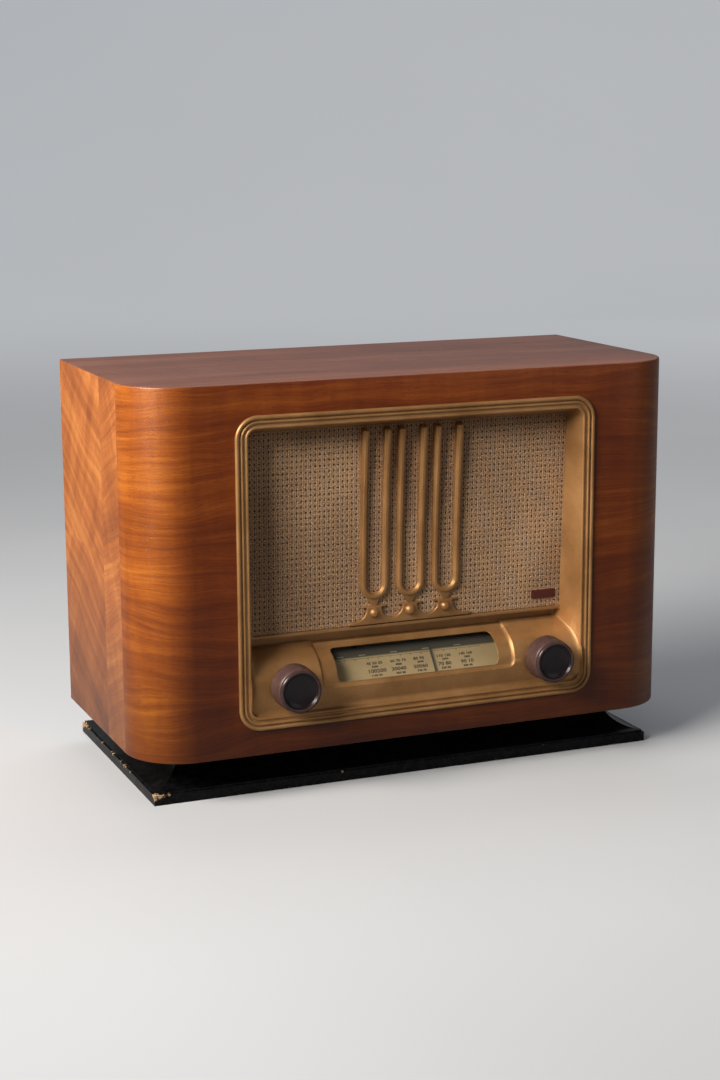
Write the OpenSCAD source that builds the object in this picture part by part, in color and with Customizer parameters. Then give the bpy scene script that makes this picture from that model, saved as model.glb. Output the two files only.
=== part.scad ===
// Table radio receiver: veneered cabinet on a black plinth, moulded front with grille, dial and two knobs.
// X to the right, Y to the back, Z up. The origin lies in the plane that the plinth stands on.

/* [Cabinet] */
// Width over the veneered sides
cabinet_w = 460; // [430:1:490]
// Depth from the front face to the back edges
cabinet_d = 213; // [206:1:235]
// Height of the veneered front above the moulding
head_margin = 24.3; // [20:0.1:40]
// Outer radius of the two front corners
corner_r = 46; // [25:1:55]
// Thickness of the bent front and sides
wrap_t = 10; // [8:0.5:12]
// Thickness of the top and bottom boards
board_t = 12; // [9:0.5:15]
// Side of the square corner blocks and back rails
rail_s = 12; // [8:1:16]

/* [Plinth] */
// Width of the plinth plate
plinth_w = 431; // [400:1:450]
// Depth of the plinth plate
plinth_d = 215; // [200:1:230]
// Thickness of the plinth plate
plinth_t = 8; // [6:0.5:12]
// Distance from the cabinet's front face back to the plate's front edge
plinth_setback = 19; // [10:1:30]
// Height of the hollow-curved riser between plate and cabinet
cove_h = 28.5; // [20:0.5:36]
// How far the riser draws in from the plate's edge to the cabinet
cove_run = 27; // [18:1:34]
// Wall left inside the riser at its narrowest
cove_wall = 14; // [10:1:20]

/* [Front moulding] */
// Width over the outer bead
frame_w = 304; // [290:1:320]
// Height over the outer bead
frame_h = 245; // [238:1:255]
// Height of the outer bead above the cabinet's underside
frame_lift = 19.7; // [14:0.1:26]
// Outer corner radius of the moulding
frame_r = 18; // [18:0.5:24]
// Radius of the outer bead
bead_r = 1.75; // [1.2:0.05:2.2]
// Radius of the inner bead
bead_inner_r = 1.05; // [0.7:0.05:1.3]
// Radius of the rounded lip where the recess begins
lip_r = 1.3; // [0.8:0.05:1.4]
// Distance from the outer edge to the recess
frame_band = 10.6; // [10:0.1:11.5]
// Width that lies on the wood around the opening
flange = 7; // [5:0.1:7.5]
// Wall thickness of the moulding
shell_t = 2.6; // [2:0.1:3]
// Sideways draft of the recess walls for each millimetre of depth
draft = 0.3; // [0.2:0.01:0.3]

/* [Control panel] */
// Height of the panel's foremost line above the moulding's lower edge
bulge_z = 30.8; // [28:0.1:34]
// Radius of the panel's upper curve
bulge_r = 24; // [20:0.5:26]
// Radius of the panel's lower curve
belly_r = 56; // [50:1:70]
// Angle that the upper curve turns before the straight slope
bulge_turn = 62.5; // [58:0.5:66]
// Depth of the slope's upper edge behind the front face
slope_depth = 27.8; // [26:0.1:29]
// Half width of the sunk dial field
field_half_w = 82; // [78:0.5:84]
// Depth of the sunk dial field
field_sink = 2; // [1.2:0.1:2.4]
// Height of the dial field's lower edge above the moulding's lower edge
field_z = 28.2; // [27:0.1:29]
// Height of the groove above the panel
channel_h = 6.3; // [5:0.1:8]
// Height of the ledge that the grille cloth stands on
ledge_h = 3; // [2.5:0.1:4]
// Depth of the ledge's front behind the front face
ledge_depth = 21.8; // [20:0.1:22.6]

/* [Dial] */
// Half width of the dial window
window_half_w = 69.7; // [60:0.1:72]
// Corner radius of the dial window
window_r = 4; // [2:0.5:6]
// Thickness of the dial glass
glass_t = 1.5; // [1:0.1:1.8]
// Thickness of the dial scale plate
scale_t = 1.2; // [0.8:0.1:1.5]
// Length of travel of the pointer
pointer_travel = 128; // [110:1:130]
// Place of the pointer, right of the dial's centre
pointer_x = 18.3; // [-40:0.1:40]
// Width of the pointer
pointer_w = 1; // [0.6:0.1:1.6]
// Radius of the pointer's guide rail
rail_r = 1.5; // [1.2:0.1:1.8]

/* [Grille] */
// Depth of the cloth behind the front face, at the ledge
cloth_depth = 23.3; // [22.6:0.1:24]
// Backward lean of the cloth, in degrees
cloth_lean = 1.9; // [0:0.1:2.2]
// Thickness of the cloth
cloth_t = 1; // [0.6:0.1:1.4]
// Thickness of the baffle board
baffle_t = 8; // [6:0.5:10]
// Spacing of the three hoops
hoop_pitch = 30.8; // [28:0.1:33]
// Width of a hoop between the middles of its legs
hoop_span = 18.6; // [15:0.1:20]
// Width of a hoop's leg at its root
leg_w = 5.6; // [4.6:0.1:6.4]
// Width of the ridge along a hoop
ridge_w = 2.4; // [1.6:0.1:3]
// Distance of the ridge from the cloth at the foot of a hoop
hoop_foot = 3.4; // [3:0.1:4.4]
// Distance of the ridge from the cloth at the top of a hoop
hoop_head = 7.4; // [5:0.1:8]
// Radius of the outer studs
stud_r = 4.1; // [3.2:0.1:4.6]
// Radius of the middle stud
stud_mid_r = 4.6; // [3.6:0.1:5]
// Width of the bare badge
badge_w = 21; // [16:0.5:26]
// Height of the bare badge
badge_h = 7; // [5:0.5:9]
// Distance from the recess's edge to the middle of the badge
badge_inset = 22.4; // [20:0.1:30]

/* [Knobs] */
// Radius of a knob at its back
knob_r = 18; // [15:0.1:18.5]
// Radius of a knob's front ring
knob_front_r = 16.6; // [13.5:0.1:17]
// Depth of a knob from back to front
knob_d = 20.4; // [17:0.1:23]
// Distance between the two knobs
knob_spacing = 218; // [210:0.5:220]
// Height of the knobs above the moulding's lower edge
knob_z = 33.8; // [31:0.1:35]
// Gap between a knob and the panel
knob_gap = 2; // [1.5:0.1:3]
// Radius of the control shafts
shaft_r = 3; // [2.8:0.1:3.2]

/* [Tuning drive] */
// Distance of the drive cord behind the front face
cord_depth = 42.5; // [42:0.1:43.5]
// Half thickness of the drive cord
cord_r = 0.4; // [0.3:0.05:0.5]
// Radius at which the cord runs round the tuning spindle
spindle_r = 4; // [3.9:0.1:4.4]
// Radius at which the cord runs round the idler pulley
idler_r = 8; // [7:0.1:9]
// Place of the left idler pulley, left of the centre
idler_x = 92; // [90:1:95]
// Distance from the left idler pulley to the right one
idler_span = 287; // [280:1:290]
// Place of the tuning capacitor, right of the centre
gang_x = 140; // [136:0.5:146]
// Radius of the capacitor's moving plates
vane_r = 20; // [16:0.5:21]
// Moving plates in each section
vane_count = 5; // [4:1:7]
// Distance between one moving plate and the next
vane_pitch = 3; // [2.8:0.1:3.4]

/* [Chassis] */
// Width of the chassis
chassis_w = 380; // [360:1:392]
// Depth of the chassis
chassis_d = 148; // [140:1:150]
// Height of the chassis
chassis_h = 55; // [52:0.5:60]
// Distance from the cabinet's front face to the chassis
chassis_setback = 50; // [49:0.5:54]
// Sheet thickness of the chassis and its brackets
sheet_t = 1.2; // [1:0.1:1.6]
// Radius of the aerial, earth and pick-up sockets
socket_r = 2.05; // [2:0.05:2.2]
// Spacing of the sockets
socket_pitch = 15; // [12:0.5:19]
// Radius of the bore for the mains lead
lead_r = 4; // [3:0.1:4.5]

/* [Loudspeaker] */
// Distance from the baffle's edge to the loudspeaker's rim
speaker_edge = 4.6; // [4:0.1:10]
// Depth of the loudspeaker's basket
basket_d = 46; // [38:1:54]
// Radius of the magnet
magnet_r = 34; // [28:1:38]
// Length of the magnet
magnet_l = 28; // [20:1:34]
// How far the loudspeaker sits below the middle of the baffle
speaker_drop = 2.1; // [0:0.1:2.6]

/* [Valves and cans] */
// Radius of a valve's glass
valve_r = 15; // [12:0.5:16]
// Height of a valve above its base
valve_h = 72; // [55:1:80]
// Radius of a valve's base
valve_base_r = 16; // [14:0.5:17]
// Distance from one valve to the next
valve_pitch = 40; // [36:1:41]
// Width of the mains transformer's core
core_w = 66; // [56:1:70]
// Side of a square screening can
can_w = 34; // [28:1:36]
// Height of a screening can
can_h = 68; // [50:1:75]

/* [Back] */
// Thickness of the back cover
cover_t = 3; // [2:0.5:4]
// Distance from the cabinet's back edges to the cover's outside
cover_recess = 5; // [4:0.5:8]
// Width of a vent slot
vent_w = 5; // [4:0.5:7]
// Length of a vent slot
vent_l = 34; // [24:1:40]

/* [Fits] */
// Radial clearance of a turning or sliding fit
run_gap = 0.05; // [0.02:0.01:0.1]
// Gap between soft or loosely laid pieces
lay_gap = 0.3; // [0.2:0.05:0.4]
// Radial clearance of a screw in its hole
screw_gap = 0.1; // [0.05:0.05:0.3]

/* [Hidden] */
$fn = 72;

walnut = "sienna";
bronze = "darkgoldenrod";
steel = "silver";
bakelite = [0.16, 0.08, 0.07];

base_h = plinth_t + cove_h;
cabinet_h = frame_lift + frame_h + head_margin;
top_z = base_h + cabinet_h;
front_y = -cabinet_d / 2;
back_y = cabinet_d / 2;
floor_z = base_h + board_t;
ceiling_z = top_z - board_t;
inner_half_w = cabinet_w / 2 - wrap_t;

frame_z = base_h + frame_lift;
frame_mid_z = frame_z + frame_h / 2;
recess_half_w = frame_w / 2 - frame_band;
wall_depth = 24;

bulge_mid_z = frame_z + bulge_z;
slope_start = [bulge_r * (1 - cos(bulge_turn)), bulge_mid_z + bulge_r * sin(bulge_turn)];
slope_rise = tan(90 - bulge_turn);
slope_end = [slope_depth, slope_start[1] + (slope_depth - slope_start[0]) * slope_rise];
panel_foot_z = frame_z + frame_band - 3;
ledge_z = slope_end[1] + channel_h;
cloth_z = ledge_z + ledge_h;
channel_back = slope_depth + 3;

// The dial lies along a chord behind the window: its ends are [depth, height]
chord_low = [field_sink + 0.9, frame_z + field_z + 1.9];
chord_high = [slope_depth - 6.5, frame_z + 53.6];
chord = chord_high - chord_low;
chord_l = norm(chord);
dial_along = chord / chord_l;
dial_inward = [dial_along[1], -dial_along[0]];
dial_lean = atan2(chord[0], chord[1]);
glass_sink = field_sink + shell_t + 0.1;
pointer_sink = 6.8;
scale_sink = pointer_sink + 1.8;
arm_z = slope_end[1] - 7;

knob_y = -knob_gap;
knob_x = knob_spacing / 2;
shaft_z = frame_z + knob_z;

cloth_top_z = frame_z + frame_h - frame_band + 8;
baffle_half_w = frame_w / 2 + 8;
baffle_top = cloth_top_z - cloth_z;
speaker_r = baffle_top / 2 - speaker_edge;
speaker_z = baffle_top / 2 - speaker_drop;
badge_x = recess_half_w - badge_inset;

drum_r = pointer_travel / PI;
cord_shift = 1.15 * cord_r;
cord_z = arm_z + 5.5;
drum_z = cord_z + drum_r;
idler_z = cord_z - idler_r;
guide_z = cord_z + 6;
drive_y = front_y + cord_depth;
vane_turn = 180 * (pointer_x + pointer_travel / 2) / pointer_travel;
gang_y = front_y + chassis_setback + 12;
gang_l = 62;

chassis_y = front_y + chassis_setback;
chassis_back = chassis_y + chassis_d;
chassis_z = floor_z + chassis_h;
cover_y = back_y - cover_recess - cover_t;
socket_x = 70;
socket_z = floor_z + chassis_h / 2;
grommet_x = -120;
lamp_x = 32;
lamp_z = arm_z - 7.6;
cheek_x = window_half_w + 9.5;
bush_r = 5;

// Plan of the cabinet drawn in by inset, with the two front corners rounded
module cabinet_plan(inset = 0) {
    half_w = cabinet_w / 2 - inset;
    r = corner_r - inset;
    translate([-half_w, front_y + corner_r]) square([2 * half_w, cabinet_d - corner_r]);
    translate([-half_w + r, front_y + inset]) square([2 * (half_w - r), corner_r - inset + 1]);
    for (side = [-1, 1]) translate([side * (half_w - r), front_y + corner_r]) circle(r);
}

module rounded_rect(w, h, r) {
    square([w - 2 * r, h], center = true);
    square([w, h - 2 * r], center = true);
    for (x = [-1, 1], y = [-1, 1]) translate([x * (w / 2 - r), y * (h / 2 - r)]) circle(r);
}

// Extrudes an outline drawn as [depth, height] along X, about the middle
module along_x(length) {
    translate([-length / 2, front_y, 0]) rotate([90, 0, 90]) linear_extrude(length) children();
}

// Extrudes an outline drawn as [x, z], seen from the front, from depth a to depth b
module from_front(a, b) {
    translate([0, front_y + b, 0]) rotate([90, 0, 0]) linear_extrude(b - a) children();
}

// Carries a profile, drawn as [distance from the corner's centre, height], round a rectangle
module round_rectangle(w, h, r) {
    for (q = [0 : 3]) rotate(90 * q) {
        a = q % 2 == 0 ? w : h;
        b = q % 2 == 0 ? h : w;
        translate([a / 2 - r, 0, 0]) rotate([90, 0, 0]) linear_extrude(b - 2 * r, center = true) children();
        translate([a / 2 - r, b / 2 - r, 0]) rotate_extrude(angle = 90) children();
    }
}

// Cylinder along Y at [x, z], from depth a to depth b behind the front face
module spigot(x, z, r, a, b) {
    translate([x, front_y + a, z]) rotate([-90, 0, 0]) cylinder(r = r, h = b - a);
}

// Frame of the leaning baffle: X to the right, Y out of its back, Z up along it, from the cloth's foot
module on_lean() {
    translate([0, front_y + cloth_depth, cloth_z]) rotate([cloth_lean, 0, 0]) children();
}

// Extrudes an outline drawn as [x, z] in the leaning frame, from y = a to y = b
module lean_plate(a, b) {
    on_lean() translate([0, b, 0]) rotate([90, 0, 0]) linear_extrude(b - a) children();
}

module cabinet_wrap() {
    color(walnut) difference() {
        translate([0, 0, base_h]) linear_extrude(cabinet_h) difference() {
            cabinet_plan();
            cabinet_plan(wrap_t);
            translate([-inner_half_w, back_y - 1]) square([2 * inner_half_w, 2]);
        }
        from_front(-1, wrap_t + 1) translate([0, frame_mid_z])
            rounded_rect(frame_w - 2 * flange, frame_h - 2 * flange, frame_r - flange);
    }
}

module cabinet_board(z) {
    translate([0, 0, z]) linear_extrude(board_t) cabinet_plan(wrap_t);
}

module cabinet_top() {
    color(walnut) cabinet_board(ceiling_z);
}

bolt_xs = [-chassis_w / 2 + 8, chassis_w / 2 - 8];
bolt_ys = [chassis_y + 25, chassis_back - 25];
bolt_r = 2;

module cabinet_floor() {
    color("tan") difference() {
        cabinet_board(base_h);
        for (x = bolt_xs, y = bolt_ys) translate([x, y, base_h - 1]) {
            cylinder(r = bolt_r + screw_gap, h = board_t + 2);
            cylinder(r = 2 * bolt_r + lay_gap, h = 4);
        }
    }
}

// Glue blocks in the curved front corners
module corner_blocks() {
    block_x = inner_half_w - rail_s * 1.6;
    block_y = front_y + wrap_t;
    color("burlywood") for (side = [-1, 1]) intersection() {
        translate([0, 0, floor_z]) linear_extrude(ceiling_z - floor_z) cabinet_plan(wrap_t);
        translate([side * (block_x + 20) - 20, block_y, floor_z]) cube([40, rail_s * 1.6, ceiling_z - floor_z]);
    }
}

rail_xs = [-inner_half_w + rail_s / 2, inner_half_w - rail_s / 2];
screw_zs = [floor_z + 25, (floor_z + ceiling_z) / 2, ceiling_z - 25];
screw_r = 1.6;

// Rails inside the back edges that the cover is screwed to
module back_rails() {
    color("burlywood") difference() {
        for (x = rail_xs) translate([x - rail_s / 2, cover_y - rail_s, floor_z])
            cube([rail_s, rail_s, ceiling_z - floor_z]);
        for (x = rail_xs, z = screw_zs) translate([x, cover_y - rail_s + 2, z]) rotate([-90, 0, 0])
            cylinder(r = screw_r + screw_gap, h = rail_s);
    }
}

module plinth_plate() {
    color("black") translate([-plinth_w / 2, front_y + plinth_setback, 0]) cube([plinth_w, plinth_d, plinth_t]);
}

// Hollow-curved section of the riser, across a plate of the given size
module cove_section(size) {
    difference() {
        translate([-size / 2, 0]) square([size, cove_h]);
        for (side = [-1, 1]) translate([side * (size / 2), cove_h]) scale([1, 1]) circle(r = cove_run);
    }
}

// Four mitred lengths: two crossed extrusions meet in true mitres
module plinth_cove() {
    mid_y = front_y + plinth_setback + plinth_d / 2;
    foot = 1.5;
    color("black") translate([0, mid_y, plinth_t]) difference() {
        intersection() {
            translate([0, plinth_d / 2, 0]) rotate([90, 0, 0]) linear_extrude(plinth_d)
                cove_section(plinth_w - 2 * foot);
            translate([-plinth_w / 2, 0, 0]) rotate([90, 0, 90]) linear_extrude(plinth_w)
                cove_section(plinth_d - 2 * foot);
        }
        inner = cove_run + cove_wall + foot;
        translate([-plinth_w / 2 + inner, -plinth_d / 2 + inner, -1])
            cube([plinth_w - 2 * inner, plinth_d - 2 * inner, cove_h + 2]);
    }
}

// Section of the moulding's rim: distance from the corner's centre, and height above the wood
module rim_section() {
    bead_mid = frame_r - bead_r;
    inner_mid = frame_r - 2 * bead_r - 0.75 - bead_inner_r;
    lip_mid = frame_r - frame_band + lip_r;
    edge = frame_r - frame_band;
    translate([bead_mid, 0.5]) circle(bead_r);
    translate([inner_mid, 0.8]) circle(bead_inner_r);
    translate([lip_mid, 0]) circle(lip_r);
    polygon([
        [edge, 0], [edge, 0.35], [frame_r - 0.6, 0.35], [frame_r - 0.6, 0],
        [frame_r - flange - 0.4, 0], [edge + shell_t - wall_depth * draft, -wall_depth], [edge - wall_depth * draft, -wall_depth]
    ]);
}

module below_zero() {
    translate([-1, -wall_depth - 3]) square([frame_r - flange, wall_depth + 3]);
    translate([-1, 0]) square([frame_r + 2, 5]);
}

module moulding_rim() {
    translate([0, front_y, frame_mid_z]) rotate([90, 0, 0]) round_rectangle(frame_w, frame_h, frame_r)
        intersection() {
            rim_section();
            below_zero();
        }
}

// Everything behind the panel's front surface drawn in by sink, as [depth, height]
module panel_body(sink) {
    back = channel_back;
    start = [bulge_r - (bulge_r - sink) * cos(bulge_turn), bulge_mid_z + (bulge_r - sink) * sin(bulge_turn)];
    end = slope_end + [0, -sink / sin(bulge_turn)];
    intersection() {
        translate([bulge_r, bulge_mid_z]) circle(bulge_r - sink, $fn = 144);
        translate([-1, bulge_mid_z - 0.01]) square([bulge_r + 1, bulge_r + 1]);
    }
    intersection() {
        translate([belly_r, bulge_mid_z]) circle(belly_r - sink, $fn = 144);
        translate([-1, panel_foot_z]) square([back + 1, bulge_mid_z - panel_foot_z]);
    }
    polygon([
        [bulge_r, bulge_mid_z - 1], start, end, [back, end[1]], [back, panel_foot_z], [bulge_r, panel_foot_z]
    ]);
}

// Half plane of [depth, height] above z
module above(z) {
    translate([-5, z]) square([slope_depth + 5.01, 100]);
}

module panel_shell(outer, inner) {
    difference() {
        panel_body(outer);
        panel_body(inner);
        translate([slope_depth, panel_foot_z - 1]) square([10, 100]);
    }
}

// Ledge under the cloth, the groove below it and the groove's back, as [depth, height]
module ledge_section() {
    polygon([
        [ledge_depth, ledge_z], [channel_back, ledge_z], [channel_back, slope_end[1] - 1.6],
        [slope_depth, slope_end[1] - 1.6], [slope_depth, slope_end[1] - 1.6 - shell_t],
        [channel_back + shell_t, slope_end[1] - 1.6 - shell_t], [channel_back + shell_t, cloth_z - lay_gap],
        [ledge_depth, cloth_z - lay_gap]
    ]);
}

module window_cut() {
    mid = (chord_low + chord_high) / 2;
    translate([0, front_y + mid[0], mid[1]]) rotate([90 - dial_lean, 0, 0])
        translate([0, 0, -14]) linear_extrude(24) rounded_rect(2 * window_half_w, chord_l, window_r);
}

// Rounded ends of the groove, and rounded lower corners of the cloth's opening
module ledge_ends() {
    wall = recess_half_w - draft * ledge_depth;
    low = slope_end[1] - 1.6;
    groove_r = (ledge_z - slope_end[1]) / 2;
    for (side = [-1, 1]) scale([side, 1, 1]) {
        from_front(ledge_depth, channel_back + 1) difference() {
            translate([wall - 6, low]) square([7, ledge_z + 1 - low]);
            translate([wall - 6, ledge_z - groove_r]) circle(groove_r);
            translate([wall - 7, ledge_z - 2 * groove_r]) square([1, 2 * groove_r]);
        }
        from_front(ledge_depth, cloth_depth - 2 * lay_gap) difference() {
            translate([wall - 6, ledge_z + 1]) square([7, cloth_z + 5 - ledge_z - 1]);
            translate([wall - 5, cloth_z + 5]) circle(5);
            translate([wall - 7, cloth_z]) square([2, 6]);
        }
    }
}

module front_moulding() {
    panel_w = 2 * recess_half_w + 1;
    color(bronze) difference() {
        union() {
            difference() {
                moulding_rim();
                on_lean() translate([-frame_w / 2, -lay_gap, 1]) cube([frame_w, 20, frame_h]);
            }
            intersection() {
                union() {
                    along_x(panel_w) panel_shell(0, shell_t);
                    along_x(2 * (field_half_w + shell_t)) intersection() {
                        panel_shell(field_sink, field_sink + shell_t);
                        above(frame_z + field_z - shell_t);
                    }
                    along_x(panel_w) ledge_section();
                    along_x(panel_w) translate([belly_r - sqrt(pow(belly_r, 2) - pow(bulge_mid_z - panel_foot_z, 2)), panel_foot_z])
                        square([shell_t + 3, 2]);
                    ledge_ends();
                }
                from_front(-5, channel_back + shell_t + 2) translate([0, frame_mid_z])
                    rounded_rect(frame_w - 2 * flange - 1, frame_h - 2 * flange - 1, frame_r - flange - 0.5);
            }
        }
        along_x(2 * field_half_w) difference() {
            intersection() {
                translate([-3, frame_z + field_z]) square([slope_depth + 2.99, 100]);
                translate([-3, frame_z + field_z]) square([slope_depth + 2.99, slope_end[1] - frame_z - field_z + 1]);
            }
            panel_body(field_sink);
        }
        window_cut();
        for (side = [-1, 1]) spigot(side * knob_x, shaft_z, shaft_r + 1.2, -3, 12);
    }
}

// Outline of one hoop drawn in by inset: two legs and a round foot, open at the top
module hoop_outline(width, foot_z, top) {
    r = (hoop_span + width) / 2;
    difference() {
        union() {
            translate([0, foot_z + r]) circle(r);
            translate([-r, foot_z + r]) square([2 * r, top - foot_z - r]);
        }
        translate([0, foot_z + r]) circle(r - width);
        translate([-r + width, foot_z + r]) square([2 * (r - width), top - foot_z - r + 1]);
    }
}

hoop_foot_z = 21.8;
hoop_top = baffle_top - 14.8;
stud_z = 9.4;
tick_z = 15.4;

// Side view of the hoops, as [distance behind the cloth's face, height]: nearly flat, bowing forward at the head
module hoop_side(foot, head) {
    knee = (hoop_foot_z + hoop_top) / 2;
    polygon([
        [-lay_gap, 0], [-foot, 0], [-foot, hoop_foot_z + 10], [-foot - (head - foot) * 0.12, knee],
        [-foot - (head - foot) * 0.42, knee + (hoop_top - knee) * 0.42],
        [-head, hoop_top], [-lay_gap, hoop_top]
    ]);
}

// Keel from a hoop's foot down to its stud, and the shoulder above the stud
module keel_outline() {
    half = (hoop_span + leg_w) / 2;
    polygon([[-half + 1.5, hoop_foot_z + 5], [-2.6, tick_z], [2.6, tick_z], [half - 1.5, hoop_foot_z + 5], [0, hoop_foot_z + 1]]);
    translate([-10.3, tick_z - 1.4]) square([20.6, 1.4]);
}

base_half_w = 1.5 * hoop_pitch + 6.3;
base_low = 0.4;

// Base of the ornament: hollow curves between the studs, tapering to its two ends
module base_outline() {
    gap = hoop_pitch - 2 * 6.4;
    difference() {
        translate([-hoop_pitch - 16, base_low]) square([2 * (hoop_pitch + 16), tick_z - base_low - 0.6]);
        for (i = [-0.5, 0.5]) translate([i * hoop_pitch, 4.6 + gap / 2]) circle(gap / 2);
        for (i = [-0.5, 0.5]) translate([i * hoop_pitch - gap / 2, 4.6 + gap / 2]) square([gap, 20]);
        for (side = [-1, 1]) translate([side * (hoop_pitch + 6.4 + 10), 3.2 + 10]) circle(10);
        for (side = [-1, 1]) translate([side * (hoop_pitch + 6.4 + 10) - 10, 3.2 + 10]) square([20, 20]);
    }
    translate([-base_half_w, base_low]) square([2 * base_half_w, 2.8]);
}

module grille_hoops() {
    color(bronze) {
        intersection() {
            lean_plate(-12, -lay_gap) for (i = [-1 : 1]) translate([i * hoop_pitch, 0])
                hoop_outline(leg_w, hoop_foot_z - (leg_w - ridge_w) / 2, hoop_top);
            on_lean() translate([-base_half_w, 0, 0]) rotate([90, 0, 90]) linear_extrude(2 * base_half_w)
                hoop_side(hoop_foot - 1.3, hoop_head - 1.3);
        }
        intersection() {
            lean_plate(-12, -lay_gap) for (i = [-1 : 1]) translate([i * hoop_pitch, 0])
                hoop_outline(ridge_w, hoop_foot_z, hoop_top);
            on_lean() translate([-base_half_w, 0, 0]) rotate([90, 0, 90]) linear_extrude(2 * base_half_w)
                hoop_side(hoop_foot, hoop_head);
        }
        lean_plate(-hoop_foot + 1.6, -lay_gap) for (i = [-1 : 1]) translate([i * hoop_pitch, 0]) keel_outline();
        lean_plate(-hoop_foot + 0.8, -lay_gap) base_outline();
        for (i = [-1 : 1]) on_lean() translate([i * hoop_pitch, -hoop_foot + 1.2, stud_z]) intersection() {
            scale(1) sphere(i == 0 ? stud_mid_r : stud_r);
            translate([-10, -10, -10]) cube([20, 10, 20]);
        }
        for (i = [-1 : 1]) lean_peg(i * hoop_pitch, stud_z, peg_r);
    }
}

peg_r = 1.5;

// Peg of the ornament through the cloth and the baffle
module lean_peg(x, z, r) {
    on_lean() translate([x, -lay_gap - 0.5, z]) rotate([-90, 0, 0]) cylinder(r = r, h = cloth_t + baffle_t + lay_gap);
}

module grille_cloth() {
    color("tan") difference() {
        lean_plate(0, cloth_t) translate([-baffle_half_w + 4, 0]) square([2 * baffle_half_w - 8, baffle_top - 2]);
        for (i = [-1 : 1]) lean_peg(i * hoop_pitch, stud_z, peg_r + screw_gap);
    }
}

module badge_plate() {
    color("maroon") lean_plate(-1, 0) translate([badge_x, 11]) rounded_rect(badge_w, badge_h, 1);
}

module baffle_board() {
    color("burlywood") difference() {
        lean_plate(cloth_t, cloth_t + baffle_t) translate([-baffle_half_w, 0]) square([2 * baffle_half_w, baffle_top]);
        lean_plate(0, cloth_t + baffle_t + 1) translate([0, speaker_z]) circle(speaker_r - 10.5);
        for (i = [-1 : 1]) lean_peg(i * hoop_pitch, stud_z, peg_r + screw_gap);
        for (a = [45 : 90 : 315]) on_speaker() rotate([0, a, 0]) translate([speaker_r - 4, -6, 0])
            rotate([-90, 0, 0]) cylinder(r = screw_r + screw_gap, h = baffle_t);
    }
}

// Tapered battens between the front and the leaning baffle
module baffle_wedges() {
    wedge_w = 11;
    color("burlywood") for (side = [-1, 1]) difference() {
        translate([side * (frame_w / 2 - flange + wedge_w / 2 + 1), 0, 0]) along_x(wedge_w)
            polygon([[wrap_t, cloth_z + 3], [wrap_t, cloth_top_z - 3], [cloth_depth + 6, cloth_top_z - 3], [cloth_depth + 6, cloth_z + 3]]);
        on_lean() translate([-frame_w, -lay_gap + lay_gap, -20]) cube([2 * frame_w, 40, 300]);
    }
}

// Plate parallel to the dial's chord: from sink a to sink b, and beyond the chord's ends by low and high
module dial_plate(half_w, a, b, low, high) {
    mid = chord_low + dial_inward * b;
    translate([0, front_y + mid[0], mid[1]]) rotate([-dial_lean, 0, 0])
        translate([-half_w, a - b, -low]) cube([2 * half_w, b - a, chord_l + low + high]);
}

module dial_glass() {
    color("lightyellow", 0.4) dial_plate(window_half_w + 5, glass_sink, glass_sink + glass_t, 2, 3);
}

module dial_scale() {
    color("wheat") dial_plate(window_half_w + 9, scale_sink, scale_sink + scale_t, 3, 1.2);
}

module dial_pointer() {
    arm_depth = chord_low[0] + dial_inward[0] * pointer_sink
        + (arm_z - chord_low[1] - dial_inward[1] * pointer_sink) * tan(dial_lean);
    block_w = 10;
    block_d = 5;
    color("black") translate([pointer_x, 0, 0]) {
        dial_plate(pointer_w / 2, pointer_sink, pointer_sink + 0.8, -1.5, arm_z - chord_high[1] + 5.5);
        along_x(pointer_w + 1) translate([arm_depth, arm_z]) square([cord_depth - arm_depth, 0.8]);
        difference() {
            along_x(block_w) translate([cord_depth - block_d / 2, arm_z]) square([block_d, guide_z - arm_z + 3]);
            along_x(block_w + 2) translate([cord_depth, guide_z]) circle(rail_r + run_gap);
            along_x(block_w + 2) translate([cord_depth - cord_shift, cord_z]) square(2 * (cord_r + lay_gap), center = true);
        }
    }
}

module pointer_rail() {
    color(steel) along_x(2 * cheek_x) translate([cord_depth, guide_z]) circle(rail_r);
}

// Line of the scale's back, where the bracket's cheeks end
scale_back_low = chord_low + dial_inward * (scale_sink + scale_t);
scale_back_high = chord_high + dial_inward * (scale_sink + scale_t);

module dial_bracket() {
    plate_top = guide_z + 4;
    plate_low = floor_z + 12;
    color(steel) difference() {
        union() {
            from_front(chassis_setback - sheet_t, chassis_setback) {
                translate([-idler_x - 9, plate_low]) square([idler_x + 9 + cheek_x + 1, plate_top - plate_low]);
                translate([0, shaft_z + bush_r + 4]) square([idler_span - idler_x + 9, plate_top - shaft_z - bush_r - 4]);
            }
            for (side = [-1, 1]) translate([side * (cheek_x - sheet_t / 2), 0, 0]) along_x(sheet_t) polygon([
                [chassis_setback - sheet_t, plate_low], scale_back_low, scale_back_high,
                [cord_depth - 4, scale_back_high[1] + 1], [cord_depth - 4, plate_top], [chassis_setback - sheet_t, plate_top]
            ]);
            for (x = [-idler_x, idler_span - idler_x]) {
                spigot(x, idler_z, 2, cord_depth - 4, chassis_setback);
                spigot(x, idler_z, 3.4, cord_depth + 3.4, chassis_setback);
            }
        }
        along_x(2 * cheek_x + 4) translate([cord_depth, guide_z]) circle(rail_r);
        along_x(2 * cheek_x + 4) translate([cord_depth, cord_z]) circle(2);
        along_x(2 * cheek_x + 4) translate([cord_depth, (shaft_z + idler_z - idler_r) / 2 - 1.5])
            square([4, 15], center = true);
        for (side = [-1, 1]) spigot(side * lamp_x, lamp_z, 3, chassis_setback - 3, chassis_setback + 1);
    }
}

module lamp_holders() {
    color("goldenrod") for (side = [-1, 1]) spigot(side * lamp_x, lamp_z, 5.5, cord_depth - 0.5, chassis_setback - sheet_t);
}

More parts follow.
